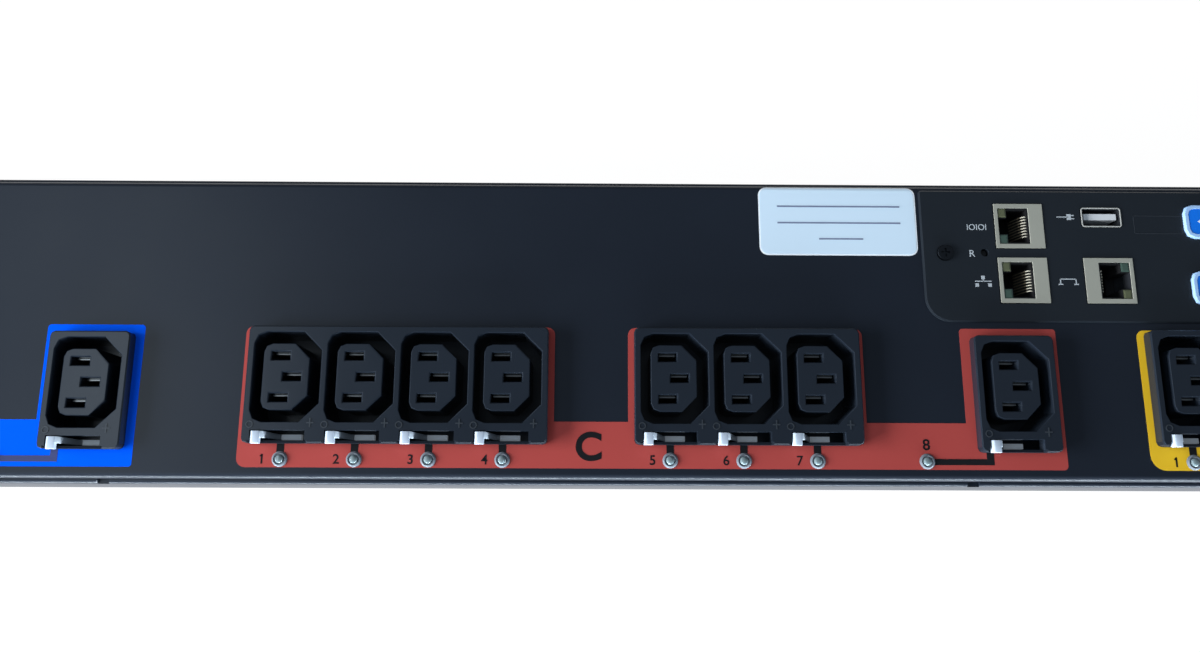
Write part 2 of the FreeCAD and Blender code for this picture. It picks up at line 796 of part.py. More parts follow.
def retaining_lever():
    """A white knob over the scooped lip, a bent arm, and a foot that slides in the groove."""
    body = new_body("retaining_lever", node=False)
    left = S.lever_slot_left + S.lever_clearance
    stem_right = left + S.stem_width
    head_under = S.flange_rise - S.lip_scoop + S.lever_clearance
    head_top = S.flange_rise + S.knob_proud
    foot_bottom = S.lever_clearance - S.groove_depth
    foot_top = foot_bottom + S.foot_thickness
    foot_end = S.groove_right - S.lever_stop_gap - S.lever_travel
    slot_top = body_bottom + S.lever_slot_height
    arm_top = slot_top - S.lever_clearance
    bends = [(left, foot_top + S.arm_thickness / 2), (left + S.arm_run, foot_bottom),
             (stem_right + S.arm_run, foot_top), (stem_right, foot_top + S.arm_thickness)]
    profile = new_sketch(body, "XZ", -arm_top)
    draw(profile, [(left, head_under), bends[0], bends[1], (foot_end, foot_bottom), (foot_end, foot_top),
                   bends[2], bends[3], (stem_right, head_under)])
    pad(body, profile, S.lever_slot_height - S.lever_clearance * 2)
    foot = new_sketch(body, "XY", foot_bottom)
    rectangle(foot, left + S.arm_run, body_bottom + S.lever_clearance, foot_end,
              slot_top + S.groove_undercut - S.lever_clearance)
    pad(body, foot, S.foot_thickness)
    knob = new_sketch(body, "XY", head_under)
    rectangle(knob, left, arm_top - S.knob_height, left + S.knob_width, arm_top)
    head = pad(body, knob, head_top - head_under)
    chamfer(body, head, head_top, S.knob_edge)
    return body


def outlet_contacts():
    """Brass spring leaves, three to an outlet, standing on the board along one side of each slot."""
    half = S.contact_length / 2
    edge = S.slot_width / 2 - S.contact_clearance
    high = S.case_depth + S.flange_rise - S.tower_set_back - S.contact_set_back
    leaf = box_between((-half, edge - S.contact_gauge, block_floor), (half, edge, high))
    slots = ((S.line_shift, S.line_reach), (S.earth_shift, ZERO), (S.line_shift, -S.line_reach))
    new_group("outlet_contacts", [leaf.translated(at(x + shift, row + reach, 0))
                                  for x, row in every_outlet for shift, reach in slots])


def outlet_lights():
    """Clear light pipes: a low lens on the cover and a square stem down to the board."""
    half = S.light_stem / 2
    lens = post(S.light_head, S.light_crown, S.case_depth, S.case_depth + S.light_rise)
    stem = box_between((-half, -half, block_floor + S.light_gap), (half, half, S.case_depth))
    pipe = lens.fuse(stem)
    new_group("outlet_lights", [pipe.translated(at(x, S.light_row, 0))
                                for row in lights.values() for x in row])


# Inside the case

def outlet_boards():
    """One circuit board behind the outlets of each section, against the backs of its blocks."""
    shapes = []
    for start in section_starts.values():
        low = (start - S.block_end, S.board_bottom, block_floor - S.board_thickness)
        high = (start + S.single_outlet * spread + S.block_end, S.board_top, block_floor)
        shapes.append(box_between(low, high))
    new_group("outlet_boards", shapes)


def relays():
    """One relay behind each outlet, on the back of its board."""
    top = block_floor - S.board_thickness
    shapes = []
    for x, row in every_outlet:
        low = (x - S.relay_width / 2, row - S.relay_length / 2, top - S.relay_height)
        high = (x + S.relay_width / 2, row + S.relay_length / 2, top)
        shapes.append(box_between(low, high))
    new_group("relays", shapes)


def bus_bars():
    """Copper bars on edge, one for each pole, from the terminal block along the case."""
    half = S.bar_thickness / 2
    start = terminal_left + S.terminal_length
    end = S.bar_end * spread
    top = S.bar_floor + S.bar_width
    new_group("bus_bars", [box_between((start, y - half, S.bar_floor), (end, y + half, top))
                           for y in bar_rows])


def bar_combs():
    """Insulating combs on the back wall, with a slot for each bar."""
    half = S.comb_width / 2
    slot = S.bar_thickness / 2 + S.comb_clearance
    top = S.bar_floor + S.comb_rise
    shapes = []
    for x in comb_places:
        comb = box_between((x - half, bar_rows[0] - slot - S.comb_margin, S.sheet_gauge),
                           (x + half, bar_rows[-1] + slot + S.comb_margin, top))
        slots = [box_between((x - half, y - slot, S.bar_floor), (x + half, y + slot, top)) for y in bar_rows]
        shapes.append(comb.cut(slots))
    new_group("bar_combs", shapes)


def terminal_block():
    """The block where the supply conductors meet the bars, with a screw entry for each pole."""
    body = new_body("terminal_block", x=terminal_left, z=S.sheet_gauge)
    pitch_half = S.bar_pitch / 2
    base = new_sketch(body, "XY")
    rectangle(base, 0, bar_rows[0] - pitch_half, S.terminal_length, bar_rows[-1] + pitch_half)
    pad(body, base, S.terminal_rise)
    wells = new_sketch(body, "XY", S.terminal_rise)
    width = S.bar_pitch - S.bar_thickness
    centred(wells, S.terminal_length / 2, bar_rows[0], width, width)
    well = pocket(body, wells, S.bar_floor)
    repeat(body, [well], "Y", bar_rows[-1] - bar_rows[0], len(bar_rows))


# Control module: zero is its lower left corner on the outside of the cover

def module_piece(label, x=ZERO, y=ZERO, turned=False, node=True):
    return new_body(label, S.module_left + x, S.module_bottom + y, S.case_depth, turned, node)


def module_bezel():
    """A moulded cap: flange on the cover, walls down to the board, and a face cut for every fitting."""
    body = module_piece("module_bezel")
    flange = new_sketch(body, "XY")
    module_outline(flange, top_corner=S.module_top_corner)
    face = pad(body, flange, S.module_rise)
    chamfer(body, face, S.module_rise, S.module_edge)
    box = new_sketch(body, "XY")
    module_outline(box, S.module_overlap)
    pad(body, box, module_depth, reverse=True)
    cavity = new_sketch(body, "XY", -module_depth)
    module_outline(cavity, S.module_overlap + S.module_wall)
    pocket(body, cavity, module_depth + module_plate_back, reverse=True)
    play = S.fit_clearance * 2
    ledge = S.display_ledge * 2
    ports = new_sketch(body, "XY", S.module_rise)
    for x, y, _ in jacks.values():
        centred(ports, x, y, S.jack_width + play, S.jack_height + play)
    centred(ports, S.display_column, S.display_row, S.display_width - ledge, S.display_height - ledge)
    pocket(body, ports, S.module_wall)
    usb = new_sketch(body, "XY", S.module_rise)
    centred(usb, S.usb_column, S.usb_row, S.usb_width + play, S.usb_height + play,
            S.usb_corner + S.fit_clearance)
    pocket(body, usb, S.module_wall)
    room = S.button_clearance * 2
    for x, y in buttons.values():
        well = new_sketch(body, "XY", S.module_rise)
        centred(well, x, y, S.button_width + room, S.button_height + room,
                S.button_corner + S.button_clearance)
        pocket(body, well, S.module_wall)
    rounds = new_sketch(body, "XY", S.module_rise)
    circle(rounds, S.reset_column, S.reset_row, S.reset_pin + room)
    for x, y in module_screws:
        circle(rounds, x, y, S.module_screw_hole)
    pocket(body, rounds, S.module_wall)
    rebate = new_sketch(body, "XY", S.module_rise)
    centred(rebate, S.display_column, S.display_row, S.display_width + play, S.display_height + play)
    pocket(body, rebate, S.display_glass)


def display_window():
    body = module_piece("display_window", S.display_column, S.display_row)
    glass = new_sketch(body, "XY", S.module_rise - S.display_glass)
    centred(glass, 0, 0, S.display_width, S.display_height)
    pad(body, glass, S.display_glass)


def module_board():
    """The circuit board on the bezel's back edge, with its key switches and the display."""
    body = module_piece("module_board")
    plate = new_sketch(body, "XY", -module_depth)
    module_outline(plate, S.module_overlap)
    pad(body, plate, S.board_thickness, reverse=True)
    keys = new_sketch(body, "XY", -module_depth)
    for x, y in list(buttons.values()) + [(S.reset_column, S.reset_row)]:
        centred(keys, x, y, S.switch_width, S.switch_width)
    pad(body, keys, module_depth + key_stem_end - S.button_travel - S.switch_gap)
    screen = new_sketch(body, "XY", -module_depth)
    ledge = S.display_ledge * 2
    centred(screen, S.display_column, S.display_row, S.display_width - ledge, S.display_height - ledge)
    pad(body, screen, module_depth + module_plate_back - S.fit_clearance)


def jack_shield(name, x, y, turned):
    """A folded nickel can round one jack, open at the front where the insert shows."""
    body = module_piece(name + "_jack_shield", x, y, turned, node=False)
    front = S.module_rise + S.jack_proud
    can = new_sketch(body, "XY", front)
    centred(can, 0, 0, S.jack_width, S.jack_height)
    pad(body, can, S.jack_depth, reverse=True)
    mouth = new_sketch(body, "XY", front)
    left = S.jack_rim - S.jack_width / 2
    half = S.jack_mouth_height / 2
    rectangle(mouth, left, -half, left + S.jack_mouth_width, half)
    pocket(body, mouth, S.jack_depth - S.jack_back)
    return body


def jack_insert(name, x, y, turned):
    """The moulded insert of one jack, with the plug's cavity and the notch for its latch."""
    body = module_piece(name + "_jack_insert", x, y, turned, node=False)
    top = S.module_rise + S.jack_proud - S.insert_set_back
    left = S.jack_rim - S.jack_width / 2 + S.insert_clearance
    right = left + S.jack_mouth_width - S.insert_clearance * 2
    half = S.jack_mouth_height / 2 - S.insert_clearance
    block = new_sketch(body, "XY", top)
    rectangle(block, left, -half, right, half)
    pad(body, block, S.jack_depth - S.jack_back - S.insert_set_back, reverse=True)
    cavity = new_sketch(body, "XY", top)
    plug_left = right - S.plug_rim - S.plug_width
    rectangle(cavity, plug_left, -(S.plug_height / 2), right - S.plug_rim, S.plug_height / 2)
    pocket(body, cavity, S.plug_depth)
    latch = new_sketch(body, "XY", top)
    rectangle(latch, left, -(S.latch_height / 2), plug_left + S.plug_rim, S.latch_height / 2)
    pocket(body, latch, S.latch_depth)
    return body


def usb_shell():
    body = module_piece("usb_shell", S.usb_column, S.usb_row)
    front = S.module_rise + S.jack_proud
    can = new_sketch(body, "XY", front)
    centred(can, 0, 0, S.usb_width, S.usb_height, S.usb_corner)
    pad(body, can, S.jack_depth, reverse=True)
    mouth = new_sketch(body, "XY", front)
    wall = S.usb_wall * 2
    centred(mouth, 0, 0, S.usb_width - wall, S.usb_height - wall, S.usb_corner - S.usb_wall)
    pocket(body, mouth, S.usb_mouth_depth)


def usb_tongue():
    body = module_piece("usb_tongue", S.usb_column, S.usb_row)
    floor = S.module_rise + S.jack_proud - S.usb_mouth_depth
    tongue = new_sketch(body, "XY", floor)
    centred(tongue, 0, S.tongue_shift, S.tongue_width, S.tongue_height)
    pad(body, tongue, S.usb_mouth_depth - S.tongue_set_back)


def push_button(label, x, y):
    """A cap in the bezel's face with a flange behind it and a stem down to its switch."""
    body = module_piece(label, x, y)
    flange_top = module_plate_back - S.button_clearance
    top = S.module_rise + S.button_rise
    cap = new_sketch(body, "XY", flange_top)
    centred(cap, 0, 0, S.button_width, S.button_height, S.button_corner)
    key = pad(body, cap, top - flange_top)
    chamfer(body, key, top, S.button_edge)
    brim = new_sketch(body, "XY", flange_top)
    lip = S.button_lip * 2
    centred(brim, 0, 0, S.button_width + lip, S.button_height + lip)
    pad(body, brim, S.button_flange, reverse=True)
    stem = new_sketch(body, "XY", flange_top - S.button_flange)
    centred(stem, 0, 0, S.button_stem, S.button_stem)
    pad(body, stem, S.stem_length, reverse=True)


def reset_button():
    """A pin behind its hole, with a collar that keeps it in."""
    body = module_piece("reset_button", S.reset_column, S.reset_row)
    collar_top = module_plate_back - S.button_clearance
    top = S.module_rise - S.reset_recess
    pin = new_sketch(body, "XY", top)
    circle(pin, 0, 0, S.reset_pin)
    pad(body, pin, top - key_stem_end, reverse=True)
    collar = new_sketch(body, "XY", collar_top)
    width = S.reset_pin + S.button_lip * 2
    centred(collar, 0, 0, width, width)
    pad(body, collar, S.button_flange, reverse=True)


# The whole unit

def build():
    rear_tray()
    front_cover()
    end_plate("inlet_end_plate", turned=True, with_gland=True)
    end_plate("far_end_plate", turned=False, with_gland=False)
    screws()
    gland_body()
    gland_dome_nut()
    gland_lock_nut()
    for name, count, first, row in gangs:
        gang = outlet_block(name, count)
        for section, start in section_starts.items():
            new_set("%s_block_%s" % (section, name), [gang], start + first, row, S.case_depth)
    lever = retaining_lever()
    for section, row in outlets.items():
        for number, (x, y) in enumerate(row, start=1):
            new_set("%s_lever_%d" % (section, number), [lever], x, y, S.case_depth)
    outlet_contacts()
    outlet_lights()
    outlet_boards()
    relays()
    bus_bars()
    bar_combs()
    terminal_block()
    module_bezel()
    display_window()
    module_board()
    new_set("jack_shields", [jack_shield(name, *place) for name, place in jacks.items()])
    new_set("jack_inserts", [jack_insert(name, *place) for name, place in jacks.items()])
    usb_shell()
    usb_tongue()
    for label, (x, y) in buttons.items():
        push_button(label, x, y)
    reset_button()


def check():
    """Stops before anything is written if a feature failed, cut nothing or left a bad shape."""
    for thing in doc.Objects:
        if "Invalid" in thing.State or "Error" in thing.State:
            raise RuntimeError("%s did not build: %s" % (thing.Label, thing.State))
        if thing.TypeId == "PartDesign::Pocket":
            if thing.Shape.Volume > thing.BaseFeature.Shape.Volume - 1e-6:
                raise RuntimeError("%s cuts nothing" % thing.Label)
    for node in nodes:
        if node.Shape.isNull() or not node.Shape.isValid():
            raise RuntimeError("%s has a bad shape" % node.Label)


def write():
    os.makedirs("parts", exist_ok=True)
    for node in nodes:
        node.Shape.exportStep("parts/%s.step" % node.Label)
    print("wrote %d sub-parts" % len(nodes))


build()
doc.recompute()
check()
write()
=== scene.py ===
# %% [markdown]
# # Dressing a rack power strip
# The solids of this power strip come from its CAD model, packed as a fixed frame in metres. This lesson
# gives them their finishes and adds what only shows close up: print, numbers, lenses, contacts and soft
# edges. Nothing here moves a solid. A piece either sits on one or takes its place.

# %% Load the frame and keep its box
import json
import math

import bpy
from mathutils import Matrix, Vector

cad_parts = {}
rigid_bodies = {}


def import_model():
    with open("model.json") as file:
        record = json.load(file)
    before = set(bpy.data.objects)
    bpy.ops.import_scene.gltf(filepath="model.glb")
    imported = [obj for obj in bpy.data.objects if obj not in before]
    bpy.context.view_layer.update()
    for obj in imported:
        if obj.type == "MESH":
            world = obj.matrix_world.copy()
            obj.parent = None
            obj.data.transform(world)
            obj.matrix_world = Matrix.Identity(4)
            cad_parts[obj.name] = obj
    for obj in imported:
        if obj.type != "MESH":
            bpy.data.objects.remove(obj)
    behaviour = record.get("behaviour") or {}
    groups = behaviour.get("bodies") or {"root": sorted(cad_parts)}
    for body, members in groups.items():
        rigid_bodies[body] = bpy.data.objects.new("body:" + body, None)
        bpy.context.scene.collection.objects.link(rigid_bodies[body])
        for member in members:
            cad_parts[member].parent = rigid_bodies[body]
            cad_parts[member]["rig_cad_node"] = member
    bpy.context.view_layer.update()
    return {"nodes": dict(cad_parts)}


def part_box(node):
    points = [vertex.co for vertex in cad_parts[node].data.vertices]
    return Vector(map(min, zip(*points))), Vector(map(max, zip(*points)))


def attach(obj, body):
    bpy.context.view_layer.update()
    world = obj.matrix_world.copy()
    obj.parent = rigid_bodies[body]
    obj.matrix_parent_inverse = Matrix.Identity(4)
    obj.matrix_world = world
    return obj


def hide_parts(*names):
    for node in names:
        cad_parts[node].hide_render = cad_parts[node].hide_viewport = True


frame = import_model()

MM = 0.001
FACING = 0.9
SECTIONS = ("blue", "red", "yellow")
OUTLETS = 8

# %% [markdown]
# ## Small tools for modelling by hand
# Every piece below is made as one would at the screen: add a primitive, go into edit mode, select some
# faces or edges, use an operator, apply a modifier. An operator works on whatever is selected, so these
# helpers clear the selection first and then pick parts of a mesh by where they are. A face counts as
# facing up, down or sideways when most of its normal, the share FACING, points that way.

# %% Selection, primitives and modifiers
def take(piece):
    """Makes one object the only selected and active one."""
    bpy.ops.object.select_all(action="DESELECT")
    piece.select_set(True)
    bpy.context.view_layer.objects.active = piece


def pick(piece, kind, test, sharp=0):
    """Enters edit mode with only those VERT, EDGE or FACE elements selected whose middle passes the test.

    Edges have to turn by at least the sharp angle as well, in degrees.
    """
    take(piece)
    mesh = piece.data
    turned = {edge.index for edge in mesh.edges}
    bpy.ops.object.mode_set(mode="EDIT")
    bpy.ops.mesh.select_mode(type=kind)
    bpy.ops.mesh.select_all(action="DESELECT")
    if sharp:
        bpy.ops.mesh.edges_select_sharp(sharpness=math.radians(sharp))
        leave_edit()
        turned = {edge.index for edge in mesh.edges if edge.select}
        bpy.ops.object.mode_set(mode="EDIT")
        bpy.ops.mesh.select_all(action="DESELECT")
    leave_edit()
    if kind == "FACE":
        for face in mesh.polygons:
            face.select = test(face.center, face.normal)
    elif kind == "EDGE":
        for edge in mesh.edges:
            start, end = (mesh.vertices[index].co for index in edge.vertices)
            edge.select = edge.index in turned and test((start + end) / 2, end - start)
    else:
        for point in mesh.vertices:
            point.select = test(point.co, None)
    bpy.ops.object.mode_set(mode="EDIT")


def everything(piece):
    """Enters edit mode with the whole mesh selected."""
    take(piece)
    bpy.ops.object.mode_set(mode="EDIT")
    bpy.ops.mesh.select_all(action="SELECT")


def leave_edit():
    bpy.ops.object.mode_set(mode="OBJECT")


def extrude(step):
    """Extrudes what is selected by a step in millimetres."""
    bpy.ops.mesh.extrude_region_move(TRANSFORM_OT_translate={"value": Vector(step) * MM})


def near(first, second, reach=0.02):
    """Whether two lengths in metres differ by less than a reach in millimetres."""
    return abs(first - second) < reach * MM


def settle(piece, name):
    """Names a new primitive and puts its place and size into its mesh."""
    piece.name = name
    take(piece)
    bpy.ops.object.transform_apply(location=True, rotation=True, scale=True)
    return piece


def new_box(name, low, high):
    """A box between two corners in millimetres, to be shaped further."""
    low, high = Vector(low) * MM, Vector(high) * MM
    bpy.ops.mesh.primitive_cube_add(size=1, location=(low + high) / 2)
    bpy.context.object.scale = high - low
    return settle(bpy.context.object, name)


def new_sheet(name, left, bottom, right, top, height):
    """A flat rectangle at one height, in millimetres."""
    middle = Vector(((left + right) / 2, (bottom + top) / 2, height)) * MM
    bpy.ops.mesh.primitive_plane_add(size=1, location=middle)
    bpy.context.object.scale = ((right - left) * MM, (top - bottom) * MM, 1)
    return settle(bpy.context.object, name)


def new_cylinder(name, sides, radius, rise, place):
    """An upright cylinder that stands on a place in millimetres."""
    middle = Vector(place) + Vector((0, 0, rise / 2))
    bpy.ops.mesh.primitive_cylinder_add(vertices=sides, radius=radius * MM, depth=rise * MM,
                                        location=middle * MM)
    return settle(bpy.context.object, name)


def modify(piece, kind, **settings):
    """Adds one modifier with its settings and applies it."""
    take(piece)
    modifier = piece.modifiers.new(kind.title(), kind)
    for setting, value in settings.items():
        setattr(modifier, setting, value)
    bpy.ops.object.modifier_apply(modifier=modifier.name)


def smooth(piece, degrees=35):
    take(piece)
    bpy.ops.object.shade_smooth_by_angle(angle=math.radians(degrees))


def copy_of(piece, name, shift=(0, 0, 0)):
    """A copy with its own mesh, moved in millimetres, its place kept in the mesh."""
    take(piece)
    bpy.ops.object.duplicate()
    twin = bpy.context.object
    twin.location = Vector(shift) * MM
    return settle(twin, name)


def join(pieces, name):
    """Joins several objects into one piece."""
    take(pieces[0])
    for piece in pieces[1:]:
        piece.select_set(True)
    bpy.ops.object.join()
    pieces[0].name = name
    return pieces[0]


def dress(piece, materials, body="chassis"):
    """Gives a piece its material or materials and the body that it rides on."""
    if not isinstance(materials, (list, tuple)):
        materials = [materials]
    slots = piece.data.materials
    for place, material in enumerate(materials):
        if place < len(slots):
            slots[place] = material
        else:
            slots.append(material)
    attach(piece, body)
    return piece


print("tools ready")

# %% [markdown]
# ## Places read from the frame
# The outlets' places are not typed in again. Each retaining lever sits at the same spot beside its outlet,
# so an outlet's centre follows from its lever's box, and the cover's box gives the front surface.

# %% Measure the outlets and the front
LEVER_TO_OUTLET = Vector((10.4, 22.1))


def box_mm(node):
    """A node's lowest and highest corners in millimetres."""
    low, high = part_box(node)
    return Vector(low) / MM, Vector(high) / MM


front = box_mm("front_cover")[1].z
lever_boxes, outlets = {}, {}
for section in SECTIONS:
    for number in range(1, OUTLETS + 1):
        name = "%s_lever_%d" % (section, number)
        lever_boxes[name] = box_mm(name)
        outlets[section, number] = lever_boxes[name][0].xy + LEVER_TO_OUTLET
blocks = [name for name in frame["nodes"] if "_block_" in name]
flange_top = box_mm("red_block_four")[1].z
print("front at", round(front, 2), "mm;", len(outlets), "outlets;", len(blocks), "blocks")

# %% [markdown]
# ## Camera
# The photograph was taken from just above the strip's lower edge, close up, with a wide lens. The place,
# turn and focal length below were found by matching outlet and jack corners of known size.

# %% Set the camera
CAMERA_PLACE = (-16.66, -61.68, 353.96)
CAMERA_TURN = (11.645, -0.445, 0.202)
CAMERA_LENS, CAMERA_SENSOR = 27.07, 36
NEAREST_SEEN = 10
bpy.ops.object.camera_add(location=Vector(CAMERA_PLACE) * MM,
                          rotation=[math.radians(turn) for turn in CAMERA_TURN])
camera = bpy.context.object
camera.data.lens = CAMERA_LENS
camera.data.sensor_width = CAMERA_SENSOR
camera.data.clip_start = NEAREST_SEEN * MM
bpy.context.scene.camera = camera
bpy.context.scene.view_settings.view_transform = "Standard"
print("camera", round(camera.location.z, 3), "m above the back wall")

# %% [markdown]
# ## Floor, world and lamps
# The strip lies on a pale table. The table looks white to the camera and in reflections, and still takes
# a soft shadow. A wide lamp on the left makes that end lighter, as the photograph shows, and another lights
# the near side. Both are kept out of reflections, because seen from the far end or from behind their glare
# would turn the black front white. A strip lamp lower than the cover draws the light line along its bend.

# %% Floor and light
FLOOR_COLOUR, FLOOR_GLOW, FLOOR_LIGHT = (0.8, 0.8, 0.8, 1), 0.9, 1.07
FLOOR_REACH, FLOOR_DROP = 6000, 0.2
WORLD_COLOUR, WORLD_LIGHT = (0.7, 0.84, 1.0, 1), 0.16
COOL, PALE = (0.78, 0.9, 1.0), (0.93, 0.97, 1.0)


def link(tree, start, end):
    tree.links.new(start, end)


def floor_material():
    """A matt white that glows a little for what sees it directly, so it stays white with a soft shadow."""
    material = bpy.data.materials.new("pale_table")
    material.use_nodes = True
    tree = material.node_tree
    tree.nodes.clear()
    output = tree.nodes.new("ShaderNodeOutputMaterial")
    matt = tree.nodes.new("ShaderNodeBsdfDiffuse")
    matt.inputs["Color"].default_value = FLOOR_COLOUR
    glow = tree.nodes.new("ShaderNodeEmission")
    glow.inputs["Color"].default_value = (1, 1, 1, 1)
    glow.inputs["Strength"].default_value = FLOOR_LIGHT
    path = tree.nodes.new("ShaderNodeLightPath")
    seen = path.outputs["Is Camera Ray"]
    for ray in ("Is Glossy Ray", "Is Transmission Ray"):
        either = tree.nodes.new("ShaderNodeMath")
        either.operation = "MAXIMUM"
        link(tree, seen, either.inputs[0])
        link(tree, path.outputs[ray], either.inputs[1])
        seen = either.outputs[0]
    share = tree.nodes.new("ShaderNodeMath")
    share.operation = "MULTIPLY"
    share.inputs[1].default_value = FLOOR_GLOW
    link(tree, seen, share.inputs[0])
    mix = tree.nodes.new("ShaderNodeMixShader")
    link(tree, share.outputs[0], mix.inputs["Fac"])
    link(tree, matt.outputs[0], mix.inputs[1])
    link(tree, glow.outputs[0], mix.inputs[2])
    link(tree, mix.outputs[0], output.inputs["Surface"])
    return material


floor = new_sheet("floor", -FLOOR_REACH, -FLOOR_REACH, FLOOR_REACH, FLOOR_REACH, -FLOOR_DROP)
floor.data.materials.append(floor_material())

world = bpy.data.worlds.new("studio")
bpy.context.scene.world = world
world.use_nodes = True
background = world.node_tree.nodes["Background"]
background.inputs["Color"].default_value = WORLD_COLOUR
background.inputs["Strength"].default_value = WORLD_LIGHT


def lamp(name, place, aim, width, height, power, colour, mirrored=True):
    """A soft rectangular lamp at a place in millimetres, turned to face its aim and hidden from view.

    A lamp that isn't mirrored lights the strip, but doesn't show in its reflections.
    """
    bpy.ops.object.light_add(type="AREA", location=Vector(place) * MM)
    light = bpy.context.object
    light.name = name
    light.data.shape = "RECTANGLE"
    light.data.size = width * MM
    light.data.size_y = height * MM
    light.data.energy = power
    light.data.color = colour
    light.visible_camera = False
    light.visible_glossy = mirrored
    direction = Vector(aim) - Vector(place)
    light.rotation_euler = direction.to_track_quat("-Z", "Y").to_euler()


lamp("left_window", (-1300, -250, 450), (0, 0, 50), 1100, 450, 41, PALE, mirrored=False)
lamp("near_wall", (0, -1500, 260), (0, -50, 45), 2400, 300, 40, COOL, mirrored=False)
lamp("low_strip", (0, -420, 22), (0, -50, 40), 1600, 36, 10, COOL)
lamp("overhead", (-720, -50, 1050), (0, -30, 50), 1200, 400, 3.0, COOL)
print("floor and lamps set")

# %% [markdown]
# ## Finishes
# Powder coat, moulded plastic, ink and nickel all share one recipe: a plain shader, a fine grain that
# bumps the surface, and a slow cloud that shifts the colour and gloss a little, because no real surface is
# even. Object coordinates keep the grain the same size on every piece.

# %% A recipe for finishes
CLOUD_SCALE, ROUGH_SHIFT = 25, 0.06
BUMP_UNIT = 0.01


def finish(name, colour, rough, grain, bump, shift=0.12, metal=0.0, coat=0.0, clear=0.0, gloss=0.5,
           glow=0.0):
    """A principled material with grain per metre, bump in hundredths of a millimetre and a slow cloud."""
    material = bpy.data.materials.new(name)
    material.use_nodes = True
    tree = material.node_tree
    shader = tree.nodes["Principled BSDF"]
    shader.inputs["Metallic"].default_value = metal
    shader.inputs["Specular IOR Level"].default_value = gloss
    shader.inputs["Coat Weight"].default_value = coat
    shader.inputs["Transmission Weight"].default_value = clear
    shader.inputs["Emission Color"].default_value = tuple(colour) + (1,)
    shader.inputs["Emission Strength"].default_value = glow
    place = tree.nodes.new("ShaderNodeTexCoord")
    fine = tree.nodes.new("ShaderNodeTexNoise")
    fine.inputs["Scale"].default_value = grain
    fine.inputs["Detail"].default_value = 3
    slow = tree.nodes.new("ShaderNodeTexNoise")
    slow.inputs["Scale"].default_value = CLOUD_SCALE
    slow.inputs["Detail"].default_value = 4
    for noise in (fine, slow):
        link(tree, place.outputs["Object"], noise.inputs["Vector"])
    relief = tree.nodes.new("ShaderNodeBump")
    relief.inputs["Distance"].default_value = bump * BUMP_UNIT * MM
    link(tree, fine.outputs["Fac"], relief.inputs["Height"])
    link(tree, relief.outputs["Normal"], shader.inputs["Normal"])
    tint = tree.nodes.new("ShaderNodeMix")
    tint.data_type = "RGBA"
    tint.inputs["A"].default_value = tuple(part * (1 - shift) for part in colour) + (1,)
    tint.inputs["B"].default_value = tuple(part * (1 + shift) for part in colour) + (1,)
    link(tree, slow.outputs["Fac"], tint.inputs["Factor"])
    link(tree, tint.outputs["Result"], shader.inputs["Base Color"])
    wear = tree.nodes.new("ShaderNodeMapRange")
    wear.inputs["To Min"].default_value = rough - ROUGH_SHIFT
    wear.inputs["To Max"].default_value = rough + ROUGH_SHIFT
    link(tree, slow.outputs["Fac"], wear.inputs["Value"])
    link(tree, wear.outputs["Result"], shader.inputs["Roughness"])
    return material


powder_coat = finish("powder_coat", (0.011, 0.015, 0.024), 0.38, grain=1400, bump=1.2, gloss=0.4)
moulded_black = finish("moulded_black", (0.013, 0.018, 0.027), 0.26, grain=2500, bump=0.4, gloss=0.42)
lip_painted_shade = finish("lip_painted_shade", (0.009, 0.012, 0.018), 0.6, grain=2500, bump=0.4, gloss=0.2)
bezel_black = finish("bezel_black", (0.014, 0.018, 0.024), 0.48, grain=3000, bump=0.5, gloss=0.35)
# A lighter grey for printed outlines, and a painted highlight on the marks moulded into the black blocks.
glint_and_print_grey = finish("glint_and_print_grey", (0.035, 0.042, 0.052), 0.35, grain=2500, bump=0.3)
lever_white = finish("lever_white", (0.52, 0.6, 0.71), 0.3, grain=1200, bump=0.2, shift=0.04)
lever_grey = finish("lever_grey", (0.62, 0.68, 0.75), 0.3, grain=1200, bump=0.2, shift=0.05)
# The lever is one white plastic; the bar's brighter tone and faint glow are painted light for a bar deep in
# its slot.
lever_bar_painted_light = finish("lever_bar_painted_light", (0.74, 0.84, 0.95), 0.3, grain=1200, bump=0.2, shift=0.05, glow=0.1)
gold = finish("gold", (0.9, 0.84, 0.68), 0.25, grain=900, bump=0.3, metal=0.4)
gold_shade = finish("gold_shade", (0.2, 0.17, 0.12), 0.35, grain=900, bump=0.3, metal=0.4)
tinned = finish("tinned", (0.36, 0.37, 0.37), 0.3, grain=900, bump=0.3, metal=0.8)
copper = finish("copper", (0.72, 0.38, 0.22), 0.3, grain=700, bump=0.3, metal=1.0)
dark_steel = finish("dark_steel", (0.06, 0.065, 0.075), 0.35, grain=1500, bump=0.4, metal=1.0)
nickel = finish("nickel", (0.5, 0.495, 0.42), 0.34, grain=1200, bump=0.4, metal=0.3)
bright_nickel = finish("bright_nickel", (0.72, 0.71, 0.66), 0.2, grain=1200, bump=0.2, metal=0.4)
nickel_painted_shade = finish("nickel_painted_shade", (0.05, 0.055, 0.065), 0.4, grain=1200, bump=0.2, metal=0.6)
insert_black = finish("insert_black", (0.012, 0.012, 0.013), 0.45, grain=2500, bump=0.4)
board_green = finish("board_green", (0.02, 0.13, 0.06), 0.35, grain=600, bump=0.5)
relay_white = finish("relay_white", (0.62, 0.63, 0.63), 0.45, grain=1500, bump=0.4)
support_grey = finish("support_grey", (0.22, 0.23, 0.24), 0.5, grain=1500, bump=0.5)
screen_glass = finish("screen_glass", (0.012, 0.016, 0.018), 0.08, grain=50, bump=0.0, coat=1.0)
tongue_white = finish("tongue_white", (0.9, 0.93, 0.96), 0.35, grain=1500, bump=0.2, shift=0.03)
key_blue = finish("key_blue", (0.004, 0.19, 0.88), 0.3, grain=1800, bump=0.3, shift=0.06)
key_rim = finish("key_rim", (0.42, 0.64, 0.98), 0.3, grain=1800, bump=0.3, shift=0.04)
